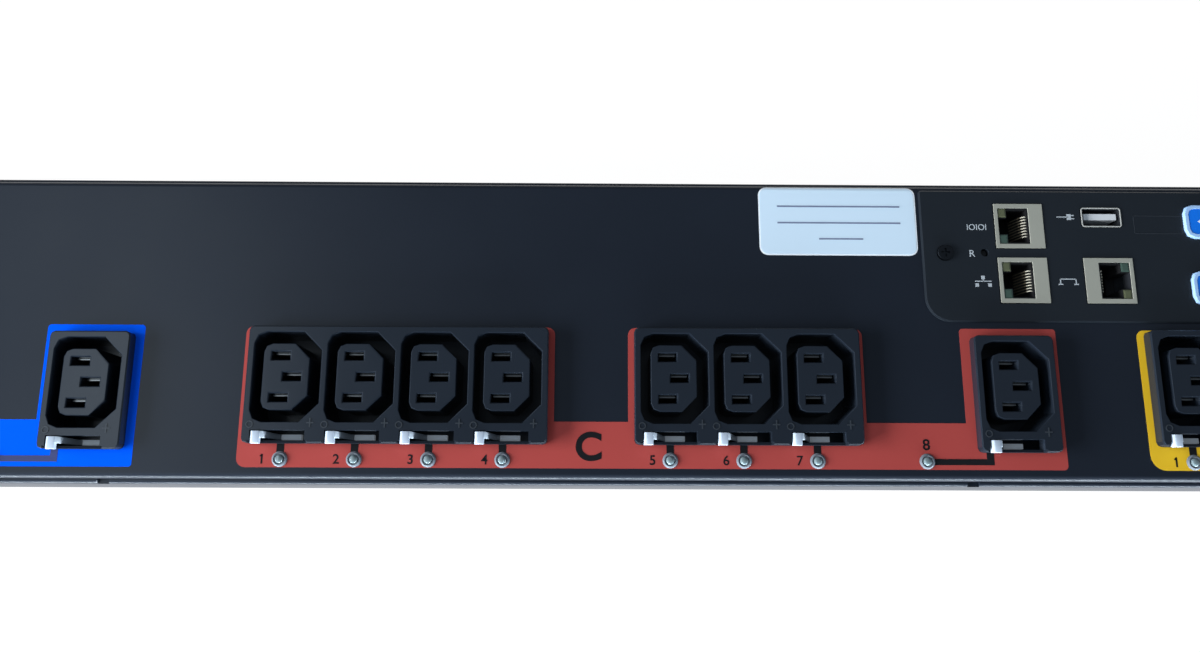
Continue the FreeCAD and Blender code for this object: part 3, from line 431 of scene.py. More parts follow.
lens_clear = finish("lens_clear", (0.22, 0.29, 0.31), 0.1, grain=400, bump=0.1, coat=0.5, clear=0.2)
lens_rim = finish("lens_rim", (0.17, 0.19, 0.22), 0.3, grain=900, bump=0.2)
lamp_olive = finish("lamp_olive", (0.11, 0.12, 0.065), 0.25, grain=900, bump=0.2, coat=0.4)
lamp_green = finish("lamp_green", (0.055, 0.095, 0.075), 0.25, grain=900, bump=0.2, coat=0.4)
INK_LOOK = dict(grain=1400, bump=0.8, shift=0.05, gloss=0.15)
ink_red = finish("ink_red", (0.43, 0.066, 0.058), 0.45, **INK_LOOK)
ink_blue = finish("ink_blue", (0.0, 0.105, 0.95), 0.6, grain=1400, bump=0.8, shift=0.05, gloss=0.05)
ink_yellow = finish("ink_yellow", (0.86, 0.52, 0.025), 0.45, **INK_LOOK)
ink_black = finish("ink_black", (0.012, 0.012, 0.014), 0.45, **INK_LOOK)
ink_white = finish("ink_white", (0.5, 0.54, 0.58), 0.5, **INK_LOOK)
ink_bright = finish("ink_bright", (0.85, 0.9, 0.95), 0.45, **INK_LOOK)
ink_slate = finish("ink_slate", (0.05, 0.06, 0.16), 0.45, **INK_LOOK)
PAPER_LOOK = dict(grain=1800, bump=0.6, shift=0.03, gloss=0.3)
paper_white = finish("paper_white", (0.7, 0.86, 1.0), 0.55, **PAPER_LOOK)
paper_edge = finish("paper_edge", (0.9, 0.95, 1.0), 0.55, **PAPER_LOOK)
paper_line = finish("paper_line", (0.2, 0.24, 0.36), 0.6, grain=1800, bump=0.3, gloss=0.3)
SECTION_INK = {"blue": ink_blue, "red": ink_red, "yellow": ink_yellow}
print(len(bpy.data.materials), "materials made")

# %% [markdown]
# ## A finish for every solid
# The cover, the end plates and the inner parts are right as they are, and a finish is all that they need.
# The solids that a softer piece stands in for further on get theirs here too, because a copy of a solid
# takes its finish along.

# %% Finish the solids
NODE_FINISH = {
    "rear_tray": powder_coat, "front_cover": powder_coat, "inlet_end_plate": powder_coat,
    "far_end_plate": powder_coat, "screws": dark_steel, "gland_body": moulded_black,
    "gland_dome_nut": moulded_black, "gland_lock_nut": moulded_black, "outlet_contacts": tinned,
    "outlet_boards": board_green, "relays": relay_white, "bus_bars": copper, "bar_combs": support_grey,
    "terminal_block": support_grey, "module_bezel": bezel_black, "display_window": screen_glass,
    "module_board": board_green, "jack_shields": nickel, "jack_inserts": insert_black,
    "usb_shell": bright_nickel, "usb_tongue": tongue_white, "reset_button": insert_black,
    "outlet_lights": lens_clear}
NODE_FINISH.update({name: moulded_black for name in blocks})
NODE_FINISH.update({name: lever_white for name in lever_boxes})
NODE_FINISH.update({name + "_button": key_blue for name in ("back", "down", "up", "enter")})
for name, material in NODE_FINISH.items():
    mesh = frame["nodes"][name].data
    mesh.materials.clear()
    mesh.materials.append(material)
print("finished", len(NODE_FINISH), "of", len(frame["nodes"]), "solids")

# %% [markdown]
# ## Outlet blocks with soft edges
# A moulded block never has a knife edge: each rim catches a thin line of light. The solid's own mesh is
# loose triangles, so a copy is welded first and flat faces are dissolved into whole ones. A small bevel then
# breaks the rims round recesses and towers, and a wider one gives the slots the lead-in that guides a plug's
# pins. The lower lip gets a darker, rougher black: painted shade, which also keeps a lamp's line of light
# off it. Weighted normals keep the large faces flat to the eye. The copy then takes the solid's place.

# %% Weld, bevel and stand in
WELD_REACH, FLAT_TURN, EDGE_TURN, SHARP_TURN = 0.002, 1, 30, 40


def welded_copy(node, name):
    """A copy of a solid with its triangles welded and its flat faces made whole."""
    take(frame["nodes"][node])
    bpy.ops.object.duplicate()
    copy = bpy.context.object
    copy.parent = None
    del copy["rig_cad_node"]
    copy.name = name
    everything(copy)
    bpy.ops.mesh.remove_doubles(threshold=WELD_REACH * MM)
    bpy.ops.mesh.customdata_custom_splitnormals_clear()
    bpy.ops.mesh.dissolve_limited(angle_limit=math.radians(FLAT_TURN))
    leave_edit()
    return copy


def softened(node, width):
    """A welded copy with every edge broken, ready to take the solid's place."""
    copy = welded_copy(node, "soft_" + node)
    modify(copy, "BEVEL", width=width * MM, segments=2, limit_method="ANGLE",
           angle_limit=math.radians(EDGE_TURN), use_clamp_overlap=True)
    smooth(copy)
    modify(copy, "WEIGHTED_NORMAL", keep_sharp=True)
    return copy


BLOCK_EDGE, LEAD_IN, RIM_MARGIN, RIM_DEPTH, SLOT_TOP = 0.3, 0.55, 1.1, 0.5, 4.3
SLOT_REACH = Vector((6.3, 9.3))


def by_slot(place):
    """Whether a place is on the top of an outlet's tower, where the three slots are."""
    return any(abs(place.x / MM - centre.x) < SLOT_REACH.x and abs(place.y / MM - centre.y) < SLOT_REACH.y
               for centre in outlets.values())


def soft_block(node):
    """A block whose rims round recesses, towers and slots are broken, and whose lower lip gets a darker,
    rougher black as painted shade.
    """
    copy = welded_copy(node, "soft_" + node)
    low, high = box_mm(node)
    left, right, top = low.x + RIM_MARGIN, high.x - RIM_MARGIN, high.y - RIM_MARGIN
    for inside, width in ((False, BLOCK_EDGE), (True, LEAD_IN)):
        pick(copy, "EDGE", lambda middle, way: middle.z > (high.z - RIM_DEPTH) * MM and near(way.z, 0)
             and left * MM < middle.x < right * MM and (low.y + SLOT_TOP) * MM < middle.y < top * MM
             and by_slot(middle) == inside, sharp=SHARP_TURN)
        bpy.ops.mesh.bevel(offset=width * MM, segments=3, affect="EDGES", loop_slide=False)
        leave_edit()
    copy.data.materials.append(lip_painted_shade)
    # Faces along the lower lip take the darker, rougher black: painted shade.
    for face in copy.data.polygons:
        face.material_index = 1 if face.center.y < (low.y + RIM_MARGIN) * MM else 0
    smooth(copy)
    modify(copy, "WEIGHTED_NORMAL", keep_sharp=True)
    return copy


for node in blocks:
    soft = soft_block(node)
    dress(soft, moulded_black)
    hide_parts(node)
print("softened", len(blocks), "blocks, the last with", len(soft.data.polygons), "faces")

# %% [markdown]
# ## Rounded rim of the tray
# Paint pulls away from a sheared edge and leaves it round, so the rim beside the cover shades from dark to
# the pale of the table. Only the outer edge along each wall is picked, and a wide bevel rolls it over.

# %% Roll the rim
RIM_ROUND = 1.2
tray = welded_copy("rear_tray", "soft_rear_tray")
tray_low, tray_high = box_mm("rear_tray")
pick(tray, "EDGE", lambda middle, way: near(middle.z, tray_high.z * MM) and near(way.y, 0)
     and (near(middle.y, tray_low.y * MM) or near(middle.y, tray_high.y * MM)), sharp=SHARP_TURN)
bpy.ops.mesh.bevel(offset=RIM_ROUND * MM, segments=5, affect="EDGES", loop_slide=False)
leave_edit()
smooth(tray)
dress(tray, powder_coat)
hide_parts("rear_tray")
print("tray with", len(tray.data.polygons), "faces")

# %% [markdown]
# ## Printed fields of colour
# Each section of outlets stands on a printed field: one band along the lower edge with a tab up behind
# each block. A plane is cut across with bisect, the tab edges are extruded upwards, the outline's corners
# are rounded, the part under each block is taken out, and Solidify gives the ink a thickness that a
# fingernail would just feel.

# %% Cut the fields from planes
INK = 0.05
BAND_LOW, BAND_HIGH = -47.65, -32.25
TAB_MARGINS = {"four": (2.4, 2.0, 0.5), "three": (2.0, 2.0, 0.5), "single": (3.2, 2.9, 2.9)}
TAB_CORNERS = {"four": 2.5, "three": 2.5, "single": 1.2}
END_CORNERS = {"blue": (3.0, 1.0), "red": (3.0, 1.5), "yellow": (5.0, 1.5)}
HOLE_REST, HOLE_SILL = 1.0, 0.4


def bisect(piece, place, normal):
    """Cuts a mesh across at a place in millimetres, keeping both sides."""
    everything(piece)
    bpy.ops.mesh.bisect(plane_co=Vector(place) * MM, plane_no=normal)
    leave_edit()


def round_corner(sheet, x, y, radius):
    """Rounds the one corner of a flat sheet that lies at a place in millimetres."""
    pick(sheet, "VERT", lambda point, _: near(point.x, x * MM) and near(point.y, y * MM))
    bpy.ops.mesh.bevel(offset=radius * MM, segments=6, affect="VERTICES")
    leave_edit()


def printed_field(section):
    """The coloured band of one section, with a tab behind each block and a hole where the block goes in."""
    tabs, holes = [], []
    for gang, (left, right, top) in TAB_MARGINS.items():
        low, high = box_mm("%s_block_%s" % (section, gang))
        tabs.append((low.x - left, high.x + right, high.y + top, TAB_CORNERS[gang]))
        holes.append((low.x + HOLE_REST, low.y + HOLE_SILL, high.x - HOLE_REST, high.y - HOLE_REST))
    left, right = tabs[0][0], tabs[-1][1]
    field = new_sheet("field_" + section, left, BAND_LOW, right, BAND_HIGH, front)
    for cut in (tabs[0][1], tabs[1][0], tabs[1][1], tabs[2][0]):
        bisect(field, (cut, 0, 0), (1, 0, 0))
    for start, end, top, _ in tabs:
        pick(field, "EDGE", lambda middle, way: near(middle.y, BAND_HIGH * MM)
             and start * MM < middle.x < end * MM and abs(way.x) > abs(way.y))
        extrude((0, top - BAND_HIGH, 0))
        leave_edit()
    for start, end, top, corner in tabs:
        round_corner(field, start, top, corner)
        round_corner(field, end, top, corner)
    round_corner(field, left, BAND_LOW, END_CORNERS[section][0])
    round_corner(field, right, BAND_LOW, END_CORNERS[section][1])
    for x0, y0, x1, y1 in holes:
        for x in (x0, x1):
            bisect(field, (x, 0, 0), (1, 0, 0))
        for y in (y0, y1):
            bisect(field, (0, y, 0), (0, 1, 0))
        pick(field, "FACE", lambda middle, _: x0 * MM < middle.x < x1 * MM and y0 * MM < middle.y < y1 * MM)
        bpy.ops.mesh.delete(type="FACE")
        leave_edit()
    modify(field, "SOLIDIFY", thickness=INK * MM, offset=1)
    return dress(field, SECTION_INK[section])


for section in SECTIONS:
    printed_field(section)
print("fields from", BAND_LOW, "to", BAND_HIGH, "mm across the cover")

# %% [markdown]
# ## Lights, their leads and numbers
# Each outlet has a clear lens on the band, a short black lead down from its block, and its number. The
# lens is a cylinder whose top is inset and pulled up step by step, first into a rounded rim and then into a
# dome. Its lower face is extruded into the light pipe that reaches the board inside.

# %% Lenses
LIGHT_SHIFT, SINGLE_LIGHT_SHIFT = -1.5, -30.5
light_low, light_high = box_mm("outlet_lights")
LIGHT_ROW = (light_low.y + light_high.y) / 2
LENS_RADIUS, LENS_RIM = 2.6, 0.15
RIM_STEPS = ((0.45, 0.45), (0.15, 0.08), (0.15, -0.08), (0.4, -0.35))
DOME_STEPS = ((0.05, 0.4), (0.3, 0.35), (0.35, 0.15))
PIPE_RADIUS = 1.15


def light_x(section, number):
    return outlets[section, number].x + (SINGLE_LIGHT_SHIFT if number == OUTLETS else LIGHT_SHIFT)


def first_lens():
    lens = new_cylinder("lens", 24, LENS_RADIUS, LENS_RIM, (0, LIGHT_ROW, front))
    pick(lens, "FACE", lambda middle, normal: normal.z > FACING)
    for inset, rise in RIM_STEPS + DOME_STEPS:
        bpy.ops.mesh.inset(thickness=inset * MM)
        bpy.ops.transform.translate(value=(0, 0, rise * MM))
    leave_edit()
    pick(lens, "FACE", lambda middle, normal: normal.z < -FACING)
    bpy.ops.mesh.inset(thickness=(LENS_RADIUS - PIPE_RADIUS) * MM)
    extrude((0, 0, light_low.z - front))
    leave_edit()
    rim_width = sum(inset for inset, _ in RIM_STEPS)
    lens.data.materials.append(lens_rim)
    lens.data.materials.append(lens_clear)
    for face in lens.data.polygons:
        reach = math.hypot(face.center.x, face.center.y - LIGHT_ROW * MM) / MM
        face.material_index = 1 if reach < LENS_RADIUS - rim_width else 0
    smooth(lens, 40)
    return lens


pattern = first_lens()
lenses = [copy_of(pattern, "lens_copy", (light_x(section, number), 0, 0))
          for section in SECTIONS for number in range(1, OUTLETS + 1)]
bpy.data.objects.remove(pattern)
lenses = join(lenses, "light_lenses")
dress(lenses, [lens_rim, lens_clear])
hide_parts("outlet_lights")
print("lenses joined into", len(lenses.data.polygons), "faces")

# %% [markdown]
# The leads and numbers are ink on ink. A number starts as a text object, gets a hair of thickness, and
# is turned into a mesh before its place is applied. The plain typeface has a bare stroke for a one, so a
# short bar is turned into the flag that a printed one has.

# %% Leads and numbers
LEAD_WIDTH, LEAD_LAP = 2.45, 0.5
DIGIT_HEIGHT, DIGIT_SHIFT, DIGIT_WEIGHT = 3.2, -5.9, 0.012
DIGIT_ROW = LIGHT_ROW + 0.1
LAST_DIGIT_HEIGHT, LAST_DIGIT_ROW = 3.7, -39.4
FLAG_REACH, FLAG_WIDTH, FLAG_TILT = 1.0, 0.42, 40
TEXT_HALF = 0.5


def ink_plate(name, left, bottom, right, top, height=front + INK, corner=0.0):
    """A thin plate of ink, with rounded corners where asked."""
    plate = new_sheet(name, left, bottom, right, top, height)
    if corner:
        everything(plate)
        bpy.ops.mesh.bevel(offset=corner * MM, segments=5, affect="VERTICES")
        leave_edit()
    modify(plate, "SOLIDIFY", thickness=INK * MM, offset=1)
    return plate


def ink_words(name, words, x, y, tall, height=front + INK, bold=0.0):
    """Words as a thin mesh, set by the middle of their box and their height in millimetres."""
    bpy.ops.object.text_add()
    text = bpy.context.object
    text.data.body = words
    text.data.extrude = TEXT_HALF
    text.data.offset = bold
    bpy.ops.object.convert(target="MESH")
    text = bpy.context.object
    points = [point.co for point in text.data.vertices]
    low = Vector([min(point[axis] for point in points) for axis in range(3)])
    high = Vector([max(point[axis] for point in points) for axis in range(3)])
    scale = tall * MM / (high.y - low.y)
    text.scale = (scale, scale, INK * MM / (2 * TEXT_HALF))
    text.location = (x * MM - (low.x + high.x) / 2 * scale, y * MM - (low.y + high.y) / 2 * scale,
                     (height + INK / 2) * MM)
    return settle(text, name)


def digit_flag(x, top):
    """The flag of a figure one: a short bar, turned about its right end to slant down to the left."""
    flag = ink_plate("flag", x - FLAG_REACH, top - FLAG_WIDTH, x, top)
    everything(flag)
    bpy.ops.transform.rotate(value=-math.radians(FLAG_TILT), orient_axis="Z",
                             center_override=(x * MM, top * MM, front * MM))
    leave_edit()
    return flag


def block_base(section, gang):
    return box_mm("%s_block_%s" % (section, gang))[0].y


leads, numbers = [], []
for section in SECTIONS:
    for number in range(1, OUTLETS):
        x = light_x(section, number)
        leads.append(ink_plate("lead", x - LEAD_WIDTH / 2, LIGHT_ROW, x + LEAD_WIDTH / 2,
                               block_base(section, "four") + LEAD_LAP))
        numbers.append(ink_words("number", str(number), x + DIGIT_SHIFT, DIGIT_ROW, DIGIT_HEIGHT,
                                 bold=DIGIT_WEIGHT))
    numbers.append(digit_flag(light_x(section, 1) + DIGIT_SHIFT, DIGIT_ROW + DIGIT_HEIGHT / 2))
    numbers.append(ink_words("number", str(OUTLETS), light_x(section, OUTLETS), LAST_DIGIT_ROW,
                             LAST_DIGIT_HEIGHT, bold=DIGIT_WEIGHT))
leads = join(leads, "light_leads")
dress(leads, ink_black)
numbers = join(numbers, "outlet_numbers")
dress(numbers, ink_black)
print("numbers and leads:", len(numbers.data.polygons) + len(leads.data.polygons), "faces")

# %% [markdown]
# A single outlet stands far to the right of its light, so its lead runs along the band and then up to the
# block: two plates of ink, joined. The large letter of a section is made as the numbers are.

# %% Long leads of the single outlets, and section letters
LINE_WIDTH, LINE_ROW = 2.0, -45.1
RISER_SHIFT = -8.16
SECTION_LETTERS = {"blue": "B", "red": "C", "yellow": "D"}
LETTER_HEIGHT, LETTER_SHIFT, LETTER_ROW, LETTER_WEIGHT = 9.7, 100.34, -40.4, 0.03
for section in SECTIONS:
    riser = outlets[section, OUTLETS].x + RISER_SHIFT
    run = ink_plate("long_lead", light_x(section, OUTLETS), LINE_ROW - LINE_WIDTH / 2,
                    riser, LINE_ROW + LINE_WIDTH / 2)
    rise = ink_plate("long_lead_rise", riser - LEAD_WIDTH, LINE_ROW + LINE_WIDTH / 2, riser,
                     block_base(section, "single") + LEAD_LAP)
    dress(join([run, rise], "single_lead_" + section), ink_slate if section == "blue" else ink_black)
    letter = ink_words("letter_" + section, SECTION_LETTERS[section], outlets[section, 1].x + LETTER_SHIFT,
                       LETTER_ROW, LETTER_HEIGHT, bold=LETTER_WEIGHT)
    dress(letter, ink_black)
print("letters", "".join(SECTION_LETTERS.values()))

# %% [markdown]
# ## Retaining levers
# Each outlet has a small lever that slides along a slot to hold a plug in. It is a white knob with an arm
# that bends down into the slot and ends in a flat bar. The knob starts as a box; a cut across it frees the
# upper half of its right side, and that half is extruded in short steps that narrow and drop. One lever is
# modelled and copied, and each copy rides on its own sliding body.
# The knob, arm and bar get three tones of the one white plastic, and the bar's brighter tone and faint glow
# are painted light.

# %% Model one lever
KNOB, KNOB_ROUND = Vector((3.1, 4.1, 1.8)), 1.2
ARM_SHARE = 2.2
ARM_STEPS = ((0.5, 0.0, -0.6, 1.0), (1.6, -0.15, -3.2, 0.92), (1.5, -0.2, -3.5, 0.9),
             (0.9, 0.0, -1.5, 1.0))
LEVER_EDGE = 0.28
PATTERN_LEVER = "red_lever_1"


def first_lever():
    """The lever of one outlet. Its knob, arm and bar take the first, second and third material, three tones
    of one white plastic; the bar's is painted light.
    """
    low, high = lever_boxes[PATTERN_LEVER]
    top = Vector((low.x + KNOB.x, low.y + KNOB.y, high.z))
    lever = new_box("lever", (low.x, low.y, high.z - KNOB.z), top)
    split = top.y - ARM_SHARE
    bisect(lever, (0, split, 0), (0, 1, 0))
    pick(lever, "FACE", lambda middle, normal: normal.x > FACING and middle.y > split * MM)
    middle = Vector((top.x, (split + top.y) / 2, high.z - KNOB.z / 2))
    for along, across, down, narrow in ARM_STEPS:
        step = Vector((along, across, down))
        middle += step
        extrude(step)
        bpy.ops.transform.resize(value=(1, narrow, 1), center_override=middle * MM)
    extrude((high.x - middle.x, 0, 0))
    leave_edit()
    pick(lever, "FACE", lambda middle, normal: normal.z < -FACING and middle.y > split * MM
         and middle.x < top.x * MM)
    bpy.ops.mesh.inset(thickness=LEVER_EDGE * MM)
    extrude((0, 0, low.z + KNOB.z - high.z))
    leave_edit()
    pick(lever, "EDGE", lambda middle, way: near(middle.z, high.z * MM) and near(middle.x, low.x * MM))
    bpy.ops.mesh.bevel(offset=KNOB_ROUND * MM, segments=5, affect="EDGES")
    leave_edit()
    modify(lever, "BEVEL", width=LEVER_EDGE * MM, segments=3, limit_method="ANGLE",
           angle_limit=math.radians(SHARP_TURN))
    # Three tones of one white plastic for knob, arm and bar; the bar's glowing tone is painted light.
    for face in lever.data.polygons:
        face.material_index = (face.center.x > (top.x + LEVER_EDGE) * MM) + (face.center.x > middle.x * MM)
    smooth(lever)
    return lever


pattern = first_lever()
home = lever_boxes[PATTERN_LEVER][0]
for name, (low, _) in lever_boxes.items():
    lever = copy_of(pattern, "soft_" + name, low - home)
    dress(lever, [lever_white, lever_grey, lever_bar_painted_light], body=name)
    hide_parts(name)
print("levers:", len(lever_boxes), "of", len(pattern.data.polygons), "faces")
bpy.data.objects.remove(pattern)

# %% [markdown]
# ## Marks moulded into the blocks
# Beside each knob a small raised ring marks the open end of the lever's slot, and a cross near the far end
# marks the locked one. The ring is a cylinder with a sunk middle, and the cross grows out of one small box,
# its four sides extruded.
# Both are moulded in the block's own black, but their raised parts get a lighter grey: a painted highlight.

# %% Ring and cross
RING_PLACE, RING_RADIUS, RING_WALL = (-10.9, -15.9), 1.2, 0.32
CROSS_PLACE, CROSS_WIDTH = (8.9, -15.3), 0.4
CROSS_ARMS = {(1, 0): 1.0, (-1, 0): 1.0, (0, 1): 1.3, (0, -1): 1.3}
MARK_RISE, RING_SINK = 0.14, 0.126


def ring_mark():
    ring = new_cylinder("ring", 20, RING_RADIUS, MARK_RISE, (0, 0, flange_top))
    pick(ring, "FACE", lambda middle, normal: normal.z > FACING)
    bpy.ops.mesh.inset(thickness=RING_WALL * MM)
    extrude((0, 0, -RING_SINK))
    leave_edit()
    # The ring's raised parts get the lighter grey as painted highlight; its sunk middle stays black.
    ring.data.materials.append(glint_and_print_grey)
    ring.data.materials.append(moulded_black)
    for face in ring.data.polygons:
        face.material_index = 1 if face.select else 0
    return ring


def cross_mark():
    half = CROSS_WIDTH / 2
    cross = new_box("cross", (-half, -half, flange_top), (half, half, flange_top + MARK_RISE))
    for (x, y), length in CROSS_ARMS.items():
        pick(cross, "FACE", lambda middle, normal: normal.dot(Vector((x, y, 0))) > FACING
             and middle.xy.length < CROSS_WIDTH * MM)
        extrude(Vector((x, y, 0)) * length)
        leave_edit()
    # The whole cross gets the lighter grey: painted highlight.
    cross.data.materials.append(glint_and_print_grey)
    return cross


ring, cross = ring_mark(), cross_mark()
marks = []
for place in outlets.values():
    marks.append(copy_of(ring, "mark", (place + Vector(RING_PLACE)).to_3d()))
    marks.append(copy_of(cross, "mark", (place + Vector(CROSS_PLACE)).to_3d()))
for piece in (ring, cross):
    bpy.data.objects.remove(piece)
marks = join(marks, "outlet_marks")
dress(marks, [glint_and_print_grey, moulded_black])
print("marks:", len(marks.data.polygons), "faces")

# %% [markdown]
# ## Paper label
# A paper sticker sits above the outlets. It is left blank but for three ruled lines to write on. A plane
# with rounded corners gets a paper's thickness, and a second, smaller sheet on top leaves a bare white
# edge showing all round, as a die-cut sticker has. Its top reaches past the flat front, so two cuts across
# it let that strip follow the cover's bend.

# %% Sticker with ruled lines
LABEL_LOW, LABEL_HIGH, LABEL_CORNER = (40.8, 25.75), (95.9, 50.6), 3.0
LABEL_EDGE = 0.5
RULED_LINES = ((47.3, 90.3, 43.5), (47.3, 90.3, 37.5), (61.6, 77.0, 31.7))
RULE_WIDTH = 0.55
BEND, CUT_CLEARANCE = 2.0, 0.01


def over_bend(sheet):
    """Lays the part of a flat piece that reaches past the cover's flat front over the bend behind it."""
    flat = box_mm("front_cover")[1].y - BEND
    for cut in (flat, flat + BEND / 4):
        bisect(sheet, (0, cut, 0), (0, 1, 0))
    levels = {round(point.co.y / MM, 2) for point in sheet.data.vertices
              if point.co.y > (flat + CUT_CLEARANCE) * MM}
    for level in levels:
        pick(sheet, "VERT", lambda middle, _: near(middle.y, level * MM))
        drop = BEND - math.sqrt(BEND ** 2 - (level - flat) ** 2)
        bpy.ops.transform.translate(value=(0, 0, -drop * MM))
        leave_edit()
    return sheet


sticker = over_bend(ink_plate("label_edge", *LABEL_LOW, *LABEL_HIGH, front, LABEL_CORNER))
dress(sticker, paper_edge)
face = over_bend(ink_plate("label_face", LABEL_LOW[0] + LABEL_EDGE, LABEL_LOW[1] + LABEL_EDGE,
                           LABEL_HIGH[0] - LABEL_EDGE, LABEL_HIGH[1] - LABEL_EDGE, front + INK,
                           LABEL_CORNER - LABEL_EDGE))
dress(face, paper_white)
rules = [ink_plate("rule", left, y - RULE_WIDTH / 2, right, y + RULE_WIDTH / 2, front + 2 * INK)
         for left, right, y in RULED_LINES]
dress(join(rules, "label_rules"), paper_line)
print("label", LABEL_HIGH[0] - LABEL_LOW[0], "by", LABEL_HIGH[1] - LABEL_LOW[1], "mm")

# %% [markdown]
# ## Control module
# The bezel, the jack cans, the socket shell and the cable gland get broken edges, as the blocks have. A
# bevel modifier does it here, because all their edges are alike. What lies deeper than a can's lip gets a
# darker metal as painted shade, so that the cans look bright on their faces only.

# %% Soft edges on bezel, cans, shell and gland
SOFT_NODES = {"module_bezel": (bezel_black, "bezel_plastic", 0.1),
              "jack_shields": (nickel, "jack_nickel", 0.15),
              "usb_shell": (bright_nickel, "jack_nickel", 0.12),
              "gland_body": (moulded_black, "gland_plastic", 0.5),
              "gland_dome_nut": (moulded_black, "gland_plastic", 0.5)}
CAN_LIP = 0.4
for node, (material, slot, edge) in SOFT_NODES.items():
    soft = softened(node, edge)
    dress(soft, [material, nickel_painted_shade] if slot == "jack_nickel" else material)
    if slot == "jack_nickel":
        # Faces below a can's lip get the darker metal: painted shade.
        painted_shade_top = (box_mm(node)[1].z - CAN_LIP) * MM
        for face in soft.data.polygons:
            face.material_index = 1 if face.center.z < painted_shade_top else 0
    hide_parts(node)
bezel_low, bezel_high = box_mm("module_bezel")
print("softened", ", ".join(SOFT_NODES))

# %% [markdown]
# Then come the small things in the jacks: eight sprung wires in each, and two little lamps in its corners.
# They are modelled once, in a jack at zero, and copied into the three jacks, one of which is turned half
# round. A wire keeps bright gold where it bends at the front, and further in it gets a darker gold as
# painted shade.

# %% Wires and lamps in the jacks
JACKS = ((131.4, 36.45, 0), (131.4, 16.95, 0), (161.1, 16.95, 180))
PIN_PITCH, PIN_COUNT, PIN_WIDTH = 1.02, 8, 0.34
PIN_PATH = ((-0.5, -0.2), (-0.5, -1.0), (-0.7, -1.6), (-1.0, -4.0))
PIN_SHADE = 51.9
PIN_START = Vector((2.7, 53.1))
LAMP_LOW, LAMP_HIGH = (-7.1, 3.2, 53.7), (-4.3, 6.35, 54.0)
LAMP_INSET, LAMP_CROWN = 0.5, 0.12


def first_pin():
    """One sprung wire, extruded along its bends from the jack's front edge towards its back."""
    x, z = PIN_START
    half = PIN_WIDTH / 2
    pin = new_box("pin", (x - half, -half, z - half), (x + half, half, z + half))
    pick(pin, "FACE", lambda middle, normal: normal.x < -FACING)
    for along, down in PIN_PATH:
        extrude((along, 0, down))
    leave_edit()
    # Faces deeper than PIN_SHADE get the darker gold: painted shade.
    for face in pin.data.polygons:
        face.material_index = 1 if face.center.z < PIN_SHADE * MM else 0
    return pin


def first_lamp():
    """A small light window with a crowned face."""
    window = new_box("lamp", LAMP_LOW, LAMP_HIGH)
    pick(window, "FACE", lambda middle, normal: normal.z > FACING)
    bpy.ops.mesh.inset(thickness=LAMP_INSET * MM)
    bpy.ops.transform.translate(value=(0, 0, LAMP_CROWN * MM))
    leave_edit()
    return window


def in_jack(piece, jack):
    """A copy of a piece modelled in a jack at zero, turned and moved into one of the jacks."""
    x, y, turn = jack
    twin = copy_of(piece, piece.name + "_copy")
    twin.rotation_euler.z = math.radians(turn)
    twin.location = Vector((x, y, 0)) * MM
    return settle(twin, piece.name + "_copy")


pin = first_pin()
for material in (gold, gold_shade):
    pin.data.materials.append(material)
first_row = -PIN_PITCH * (PIN_COUNT - 1) / 2
row = join([copy_of(pin, "pin_copy", (0, first_row + PIN_PITCH * place, 0)) for place in range(PIN_COUNT)],
           "pin_row")
pins = join([in_jack(row, jack) for jack in JACKS], "jack_pins")
dress(pins, [gold, gold_shade])
upper = first_lamp()
lower = copy_of(upper, "lower_lamp", (0, -LAMP_LOW[1] - LAMP_HIGH[1], 0))
dress(join([in_jack(upper, jack) for jack in JACKS], "jack_lamps_olive"), lamp_olive)
dress(join([in_jack(lower, jack) for jack in JACKS], "jack_lamps_green"), lamp_green)
for piece in (pin, row, upper, lower):
    bpy.data.objects.remove(piece)
print("wires:", len(JACKS) * PIN_COUNT, "and lamps:", 2 * len(JACKS))

# %% [markdown]
# The keys are two-coloured: a pale frame round a blue cap. On a welded copy of the solid the top face is
# inset, which leaves the frame as a ring of faces, and each ring gets its own material. The arrow on a key
# starts as a three-cornered circle whose base edge is drawn out into a stem.

# %% Keys with frames and arrows
KEY_FRAME, KEY_SINK, KEY_EDGE, KEY_TURN_LEAST = 1.1, 0.12, 0.15, 35
ARROW_RADIUS, ARROW_STEM, ARROW_WAIST = 1.9, 2.0, 0.35
KEY_TURNS = {"back_button": 90, "down_button": 180, "up_button": 0, "enter_button": -90}


def framed_key(node):
    """A copy of a key with a pale frame, a sunk blue cap and softened edges."""
    key = welded_copy(node, "soft_" + node)
    top = box_mm(node)[1].z
    pick(key, "FACE", lambda middle, normal: normal.z > FACING and near(middle.z, top * MM))
    bpy.ops.mesh.inset(thickness=KEY_FRAME * MM)
    extrude((0, 0, -KEY_SINK))
    leave_edit()
    for face in key.data.polygons:
        face.material_index = 1 if face.select else 0
    modify(key, "BEVEL", width=KEY_EDGE * MM, segments=2, limit_method="ANGLE",
           angle_limit=math.radians(KEY_TURN_LEAST))
    smooth(key)
    modify(key, "WEIGHTED_NORMAL", keep_sharp=True)
    dress(key, [key_rim, key_blue], body=node)
    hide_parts(node)


